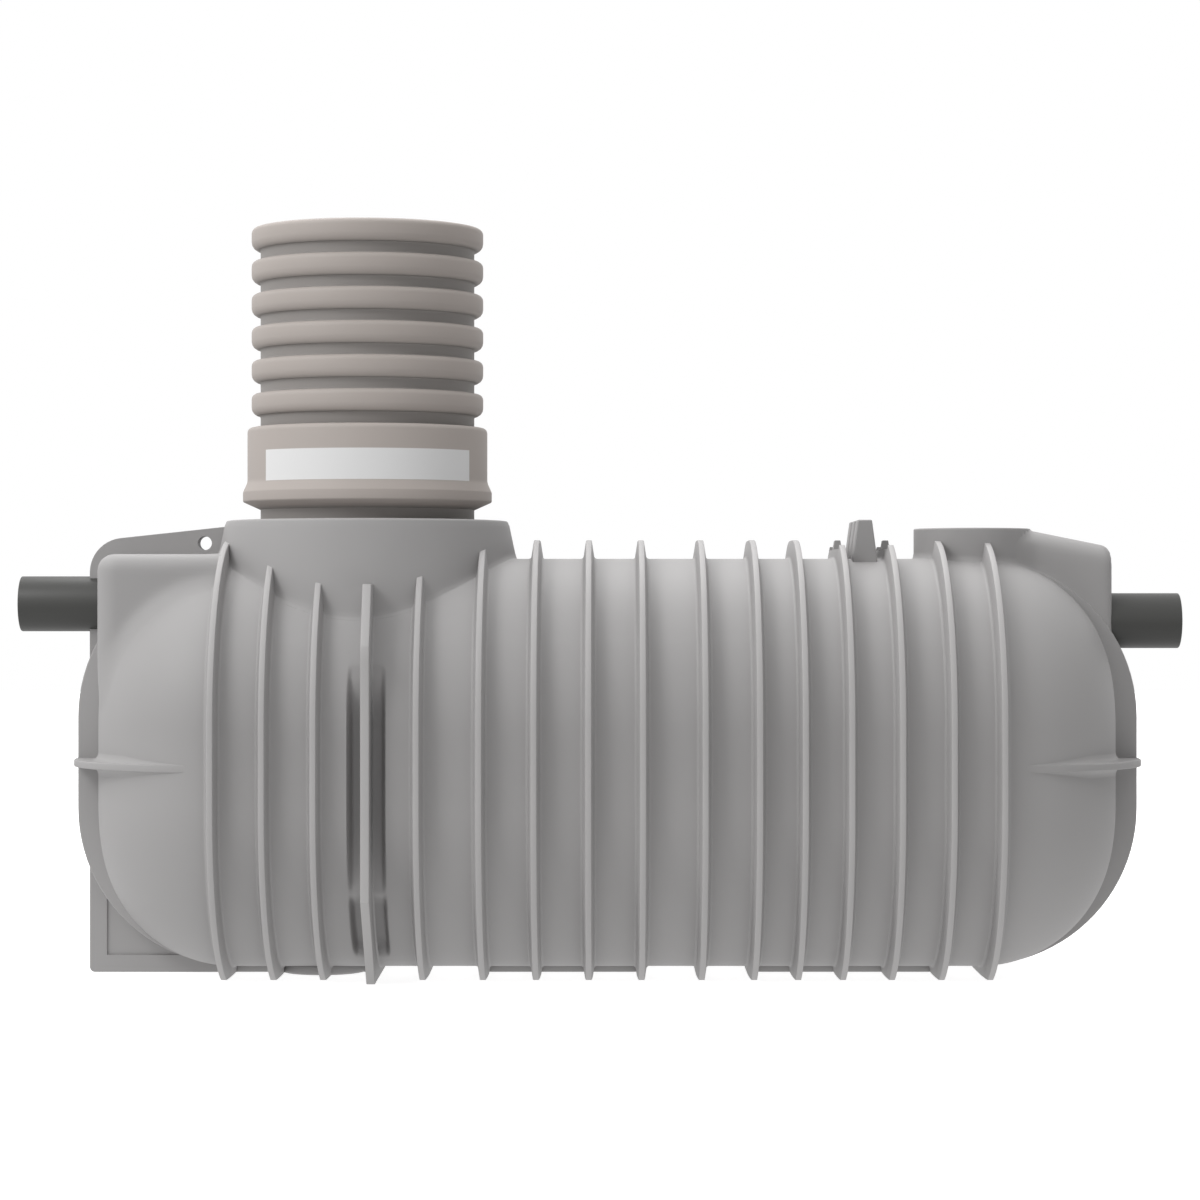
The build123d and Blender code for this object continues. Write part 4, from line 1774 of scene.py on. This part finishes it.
@dataclass
class EndRims:
    """The upright ridge and the level fin round one end."""

    mould: Mould
    end: End
    ridge_arc: float = 0.452
    ridge_half_height: float = 0.583
    inlet_ceiling: float = 0.400
    fin_corner: float = 0.440
    ridge_fillet: float = 0.004
    ridge_rounding: float = 0.005
    fin_half: float = 0.010
    fin_fillet: float = 0.022
    fin_rounding: float = 0.003
    corner_points: int = 24
    places: int = 220
    bore_tool: float = 0.4

    @property
    def rim_x(self) -> float:
        """Where this end's dome meets the barrel."""
        return self.mould.start if self.end is End.INLET else self.mould.stop

    def outline(self, root: float, face: float, half: float, corner: float) -> Points:
        """Draw a rectangle's three outer sides with round corners.

        Args:
            root: Where the open side lies.
            face: Where the side across from it lies.
            half: Half the length of those two sides.
            corner: The radius of the round corners.

        Returns:
            Evenly spaced places along the three sides.
        """
        corners = [(root, half, 0.0), (face, half, corner), (face, -half, corner),
                   (root, -half, 0.0)]
        return evenly(np.array(rounded(corners, self.corner_points)), self.places)

    def ridge(self, material: bpy.types.Material) -> None:
        """Lay the upright ridge and clear it from the pipe's bore.

        Args:
            material: The tank's material.
        """
        side = self.end.name.lower()
        low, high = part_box(f"{side}_ridge")
        face = low.x if self.end is End.INLET else high.x
        outline = self.outline(face - self.end.value * self.ridge_arc, face,
                               self.ridge_half_height, self.ridge_arc)
        if self.end is End.INLET:
            outline = outline[outline[:, 1] < self.inlet_ceiling]
        axis = self.mould.section.axis
        rim = np.stack([outline[:, 0], np.zeros(len(outline)), outline[:, 1] + axis], axis=1)
        flange = Flange(high.y, self.ridge_fillet, self.ridge_rounding)
        band = flange.lay(f"{side}_ridge_band", self.mould.tank,
                          np.array([self.rim_x, 0.0, axis]), np.array([0.0, 1.0, 0.0]), rim)
        pipe_low, pipe_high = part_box(f"{side}_pipe")
        middle = (face, 0.0, (pipe_low.z + pipe_high.z) / 2)
        bar = Bench.rod("bore tool", middle, pipe_high.y, self.bore_tool,
                        (0, math.pi / 2, 0))
        Bench.cut_with(band, bar)
        Bench.clean(band, CRISP_CREASE)
        settle(band, TANK_GREY, material, f"{side}_ridge")

    def fin(self, material: bpy.types.Material) -> None:
        """Lay the level fin.

        Args:
            material: The tank's material.
        """
        side = self.end.name.lower()
        low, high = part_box(f"{side}_fin")
        tip, root = (low.x, high.x) if self.end is End.INLET else (high.x, low.x)
        outline = self.outline(root, tip, high.y, self.fin_corner)
        level = (low.z + high.z) / 2
        rim = np.concatenate([outline, np.full((len(outline), 1), level)], axis=1)
        flange = Flange(self.fin_half, self.fin_fillet, self.fin_rounding)
        plate = flange.lay(f"{side}_fin_plate", self.mould.tank,
                           np.array([self.rim_x, 0.0, level]), np.array([0.0, 0.0, 1.0]), rim)
        settle(plate, TANK_GREY, material, f"{side}_fin")

    def build(self, material: bpy.types.Material) -> None:
        """Make the ridge and the fin."""
        self.ridge(material)
        self.fin(material)


@dataclass
class WebPlate:
    """The flat web on the middle plane of the inlet end, over and under the pipe."""

    mould: Mould
    corner: float = 0.100
    toe: float = 0.015
    slope_drop: float = 0.043
    hole_radius: float = 0.020
    hole_x: float = -1.146
    hole_drop: float = 0.064
    border: float = 0.050
    recess: float = 0.006
    sunk: float = 0.012
    inside_share: tuple[float, float] = (3.5, 2.0)
    inside_drop: float = 0.2
    bevel: float = 0.004
    arc_steps: int = 24
    bore_tool: float = 0.5
    hole_tool: float = 0.3
    recess_tool: float = 0.1
    recess_rear: float = 0.2
    recess_drop: float = 0.1

    def build(self, material: bpy.types.Material) -> None:
        """Make the upper and the lower plate and clear both from the pipe's bore.

        Args:
            material: The tank's material.
        """
        pipe_low, pipe_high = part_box("inlet_pipe")
        level = (pipe_low.z + pipe_high.z) / 2
        for plate, nodes in ((self.upper(level), ("web_top",)),
                             (self.lower(level), ("web_side", "web_foot"))):
            bar = Bench.rod("bore tool", (pipe_high.x, 0.0, level), pipe_high.y,
                            self.bore_tool, (0, math.pi / 2, 0))
            Bench.cut_with(plate, bar)
            Bench.clean(plate)
            Bench.bevel(plate, self.bevel)
            Bench.clean(plate, CRISP_CREASE)
            settle(plate, TANK_GREY, material, *nodes)

    def upper(self, level: float) -> bpy.types.Object:
        """Make the strip over the pipe, with the lifting hole.

        Args:
            level: The height of the pipe's axis.

        Returns:
            The plate, in object mode.
        """
        low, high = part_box("web_top")
        turret = self.mould.inlet_turret
        rear = turret.centre_x - turret.radius + self.sunk / 2
        inside_x = self.mould.inlet_low.x + self.inside_share[0] * self.sunk
        inside_z = self.mould.inlet_high.z - self.inside_share[1] * self.sunk
        outline = rounded([
            (low.x, level, 0.0), (low.x, high.z - self.slope_drop, self.corner),
            (rear, high.z, 0.0), (rear, inside_z, 0.0), (inside_x, inside_z, 0.0),
            (inside_x, level, 0.0)], 12)
        plate = Bench.plate("web_top_plate", outline, high.y)
        hole = Bench.rod("hole tool", (self.hole_x, 0.0, turret.top - self.hole_drop),
                         self.hole_radius, self.hole_tool, (math.pi / 2, 0, 0))
        Bench.cut_with(plate, hole)
        return plate

    def lower(self, level: float) -> bpy.types.Object:
        """Make the foot under the pipe, recessed on both sides.

        Args:
            level: The height of the pipe's axis.

        Returns:
            The plate, in object mode.
        """
        mould = self.mould
        axis, flat = mould.section.axis, mould.section.half_height - mould.dome_radius
        low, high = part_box("web_foot")
        radius = mould.dome_radius - self.sunk
        turns = np.linspace(math.pi / 2, math.pi, self.arc_steps)
        inner = [(mould.start + radius * math.cos(turn), axis - flat - radius * math.sin(turn))
                 for turn in turns]
        inside_x = mould.inlet_low.x + self.inside_share[0] * self.sunk
        foot = rounded([(low.x, level, 0.0), (low.x, 0.0, self.toe),
                        (mould.start, 0.0, 0.0)], 6)
        outline = foot + inner + [(inner[-1][0], axis + flat),
                                  (inside_x, level - self.inside_drop), (inside_x, level)]
        plate = Bench.plate("web_foot_plate", outline, high.y)
        for side in (-1, 1):
            floor_y = side * (high.y - self.recess)
            outer_y = side * (high.y + self.recess_tool)
            panel = Bench.block("recess tool",
                                (low.x + self.border, min(floor_y, outer_y), self.border),
                                (mould.start + self.recess_rear, max(floor_y, outer_y),
                                 axis - self.recess_drop))
            Bench.cut_with(plate, panel)
        return plate


@dataclass
class Underside:
    """The keels and the sump boss that the barrel stands on between its ribs."""

    boss_x: float = -0.803
    boss_radius: float = 0.127
    boss_rounding: float = 0.008
    depth: float = 0.030
    bevel: float = 0.003

    def build(self, material: bpy.types.Material) -> None:
        """Make the four keels and the boss.

        Args:
            material: The tank's material.
        """
        for name in ("keel_inlet", "keel_middle", "keel_shallow", "keel_outlet"):
            low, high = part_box(name)
            bar = Bench.block(f"{name}_bar", tuple(low), (high.x, high.y, low.z + self.depth))
            Bench.bevel(bar, self.bevel, 2)
            Bench.clean(bar, CRISP_CREASE)
            settle(bar, TANK_GREY, material, name)
        boss = Bench.rod("sump_boss_disc", (self.boss_x, 0.0, self.depth / 2), self.boss_radius,
                         self.depth)
        Bench.bevel(boss, self.boss_rounding, 3)
        Bench.clean(boss, CRISP_CREASE)
        settle(boss, TANK_GREY, material, "sump_boss")


@dataclass
class LiftingLug:
    """The tapered lug on the crown, with two grooves in each of its faces."""

    top_length: float = 0.041
    pad_half_width: float = 0.040
    groove_width: float = 0.050
    groove_depth: float = 0.008
    bevel: float = 0.0045
    sunk: float = 0.012
    tool_reach: float = 0.2
    tool_rise: float = 0.1

    def build(self, material: bpy.types.Material) -> None:
        """Make the lug.

        Args:
            material: The tank's material.
        """
        low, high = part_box("lifting_lug")
        middle, half_top = (low.x + high.x) / 2, self.top_length / 2
        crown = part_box("shell_crown")[1].z
        outline = [(low.x, low.z - self.sunk), (low.x, crown), (middle - half_top, high.z),
                   (middle + half_top, high.z), (high.x, crown), (high.x, low.z - self.sunk)]
        lug = Bench.plate("lifting_lug_block", outline, high.y)
        groove_x = half_top - self.groove_depth
        for across in (-1, 1):
            inner = across * self.pad_half_width
            outer = across * (self.pad_half_width + self.groove_width)
            for along in (-1, 1):
                near, far = middle + along * groove_x, middle + along * self.tool_reach
                tool = Bench.block("groove tool",
                                   (min(near, far), min(inner, outer),
                                    low.z - self.tool_rise),
                                   (max(near, far), max(inner, outer),
                                    high.z + self.tool_rise))
                Bench.cut_with(lug, tool)
        Bench.clean(lug)
        Bench.bevel(lug, self.bevel)
        Bench.clean(lug, CRISP_CREASE)
        settle(lug, TANK_GREY, material, "lifting_lug")


@dataclass(frozen=True)
class Lamp:
    """A soft square lamp that looks at a target."""

    name: str
    place: tuple[float, float, float]
    target: tuple[float, float, float]
    side: float
    watts: float

    def hang(self) -> None:
        """Add the lamp to the scene."""
        data = bpy.data.lights.new(self.name, "AREA")
        data.size = self.side
        data.energy = self.watts
        lamp = bpy.data.objects.new(self.name, data)
        lamp.location = self.place
        heading = Vector(self.target) - Vector(self.place)
        lamp.rotation_euler = heading.to_track_quat("-Z", "Y").to_euler()
        bpy.context.scene.collection.objects.link(lamp)


@dataclass
class Studio:
    """Camera, lamps, floor and world."""

    picture: int = 1200
    focal_pixels: float = 3380.0
    distance: float = 9.836
    camera_height: float = 1.079
    sensor: float = 36.0
    horizon: float = 0.03
    zenith: float = 1.90
    zenith_band: tuple[float, float] = (0.42, 0.95)
    left_light: float = 0.86
    left_band: tuple[float, float] = (-0.75, -0.20)
    floor_tone: float = 0.8
    floor_bounce: float = 0.15
    floor_glow: float = 0.80
    floor_light: float = 0.78
    floor_edge: float = 0.40
    floor_reach: tuple[float, float] = (1.6, 4.2)
    floor_side: float = 60.0
    sight: float = 100.0
    lamps: tuple[Lamp, ...] = (
        Lamp("key from the upper left", (-6.0, -5.0, 6.3), (-1.0, 0.0, 0.9), 3.0, 210.0),
        Lamp("sky light overhead", (-1.0, 3.6, 8.5), (-0.2, 0.0, 0.9), 5.0, 200.0))

    def camera(self) -> None:
        """Stand the camera level in front of the tank, at the photograph's distance."""
        data = bpy.data.cameras.new("view")
        data.sensor_width = self.sensor
        data.lens = self.focal_pixels / self.picture * self.sensor
        data.clip_end = self.sight
        camera = bpy.data.objects.new("view", data)
        camera.location = (0, -self.distance, self.camera_height)
        camera.rotation_euler = (math.radians(90), 0, 0)
        bpy.context.scene.collection.objects.link(camera)
        bpy.context.scene.camera = camera

    def world(self) -> None:
        """A white sky for the camera, and for the light one that is bright overhead and left."""
        world = bpy.data.worlds.new("studio")
        bpy.context.scene.world = world
        world.use_nodes = True
        nodes, links = world.node_tree.nodes, world.node_tree.links
        nodes.clear()
        path = nodes.new("ShaderNodeLightPath")
        mirrored = nodes.new("ShaderNodeMath")
        mirrored.operation = "MAXIMUM"
        links.new(path.outputs["Is Glossy Ray"], mirrored.inputs[0])
        links.new(path.outputs["Is Transmission Ray"], mirrored.inputs[1])
        seen = nodes.new("ShaderNodeMath")
        seen.operation = "MAXIMUM"
        links.new(path.outputs["Is Camera Ray"], seen.inputs[0])
        links.new(mirrored.outputs[0], seen.inputs[1])
        heading = nodes.new("ShaderNodeTexCoord")
        parts = nodes.new("ShaderNodeSeparateXYZ")
        links.new(heading.outputs["Generated"], parts.inputs[0])
        glow = nodes.new("ShaderNodeMath")
        glow.operation = "ADD"
        fades = (("Z", self.zenith_band, (self.horizon, self.zenith)),
                 ("X", self.left_band, (self.left_light, 0.0)))
        for socket, (axis, band, levels) in zip(glow.inputs, fades):
            links.new(fade(world.node_tree, parts.outputs[axis], band, levels), socket)
        strength = nodes.new("ShaderNodeMapRange")
        strength.inputs["To Max"].default_value = 1.0
        links.new(glow.outputs[0], strength.inputs["To Min"])
        links.new(seen.outputs[0], strength.inputs["Value"])
        sky = nodes.new("ShaderNodeBackground")
        sky.inputs["Color"].default_value = (1, 1, 1, 1)
        links.new(strength.outputs["Result"], sky.inputs["Strength"])
        output = nodes.new("ShaderNodeOutputWorld")
        links.new(sky.outputs[0], output.inputs["Surface"])

    def floor(self) -> None:
        """A white floor with the tank's soft shadow, which lights the tank from near by."""
        Bench.clear()
        bpy.ops.mesh.primitive_plane_add(size=self.floor_side, location=(0, 0, 0))
        floor = bpy.context.active_object
        floor.name = "studio_floor"
        material = bpy.data.materials.new("studio floor")
        material.use_nodes = True
        nodes, links = material.node_tree.nodes, material.node_tree.links
        shader = nodes["Principled BSDF"]
        shader.inputs["Roughness"].default_value = 1.0
        shader.inputs["Specular IOR Level"].default_value = 0.0
        path = nodes.new("ShaderNodeLightPath")
        tone = nodes.new("ShaderNodeMapRange")
        tone.inputs["To Min"].default_value = self.floor_bounce
        tone.inputs["To Max"].default_value = self.floor_tone
        links.new(path.outputs["Is Camera Ray"], tone.inputs["Value"])
        links.new(tone.outputs["Result"], shader.inputs["Base Color"])
        shader.inputs["Emission Color"].default_value = (1, 1, 1, 1)
        place = nodes.new("ShaderNodeTexCoord")
        radius = nodes.new("ShaderNodeVectorMath")
        radius.operation = "LENGTH"
        links.new(place.outputs["Object"], radius.inputs[0])
        pool = fade(material.node_tree, radius.outputs["Value"], self.floor_reach,
                    (self.floor_light, self.floor_edge))
        glow = nodes.new("ShaderNodeMapRange")
        glow.inputs["To Max"].default_value = self.floor_glow
        links.new(pool, glow.inputs["To Min"])
        links.new(path.outputs["Is Camera Ray"], glow.inputs["Value"])
        links.new(glow.outputs["Result"], shader.inputs["Emission Strength"])
        floor.data.materials.append(material)

    def build(self) -> None:
        """Set up the whole studio."""
        bpy.context.scene.view_settings.view_transform = "Standard"
        self.camera()
        self.world()
        self.floor()
        for lamp in self.lamps:
            lamp.hang()


def dress_frame(materials: dict[Slot, bpy.types.Material]) -> None:
    """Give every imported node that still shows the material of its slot.

    Args:
        materials: The material of each slot.
    """
    slots = {row["node"]: Slot(row["material_slot"]) for row in frame["record"]["subparts"]}
    for name, node in frame["nodes"].items():
        if node.hide_render:
            continue
        node.data.materials.clear()
        node.data.materials.append(materials[slots[name]])


def main() -> None:
    """Build the looks in order."""
    logging.basicConfig(level=logging.INFO, format="%(name)s: %(message)s")
    tank_material = TANK_GREY.build()
    shaft = RiserShaft()
    # The riser's material has shade painted into its grooves.
    riser_material = RISER_TAUPE.build(shaft.shade())
    # The crest material paints a highlight on the ribs' crests.
    crest_highlight_material = RIB_CREST_HIGHLIGHT.build()
    pipe_material = PIPE_GREY.build()
    bare_material = BARE_STRIP.build()

    section = Section.from_frame()
    shell_low, shell_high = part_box("shell_floor")
    dome_radius = shell_low.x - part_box("inlet_dome")[0].x
    mould = Mould(section, shell_low.x, shell_high.x, dome_radius)

    Studio().build()
    tools = Tools()
    for end, turret in ((End.INLET, mould.inlet_turret), (End.OUTLET, mould.outlet_turret)):
        cap = EndCap(mould, end, turret)
        cap.build(tank_material)
        neck = TurretSkin(mould, turret, cap)
        neck.build(tank_material)
        tools.add(neck.trimmer())
    RibSet(section).build(tank_material, crest_highlight_material, tools)
    StoutRib(mould).build(tank_material, crest_highlight_material, tools)
    BarrelTrough(mould).build(tank_material)
    for end in End:
        EndRims(mould, end).build(tank_material)
    WebPlate(mould).build(tank_material)
    Underside().build(tank_material)
    LiftingLug().build(tank_material)
    shaft.build(riser_material, bare_material)
    for end in End:
        PipeStub(end).build(pipe_material)
    tools.discard()
    dress_frame({Slot.TANK: tank_material, Slot.RISER: riser_material, Slot.PIPE: pipe_material})

    Bench.clear()


if __name__ == "__main__":
    main()
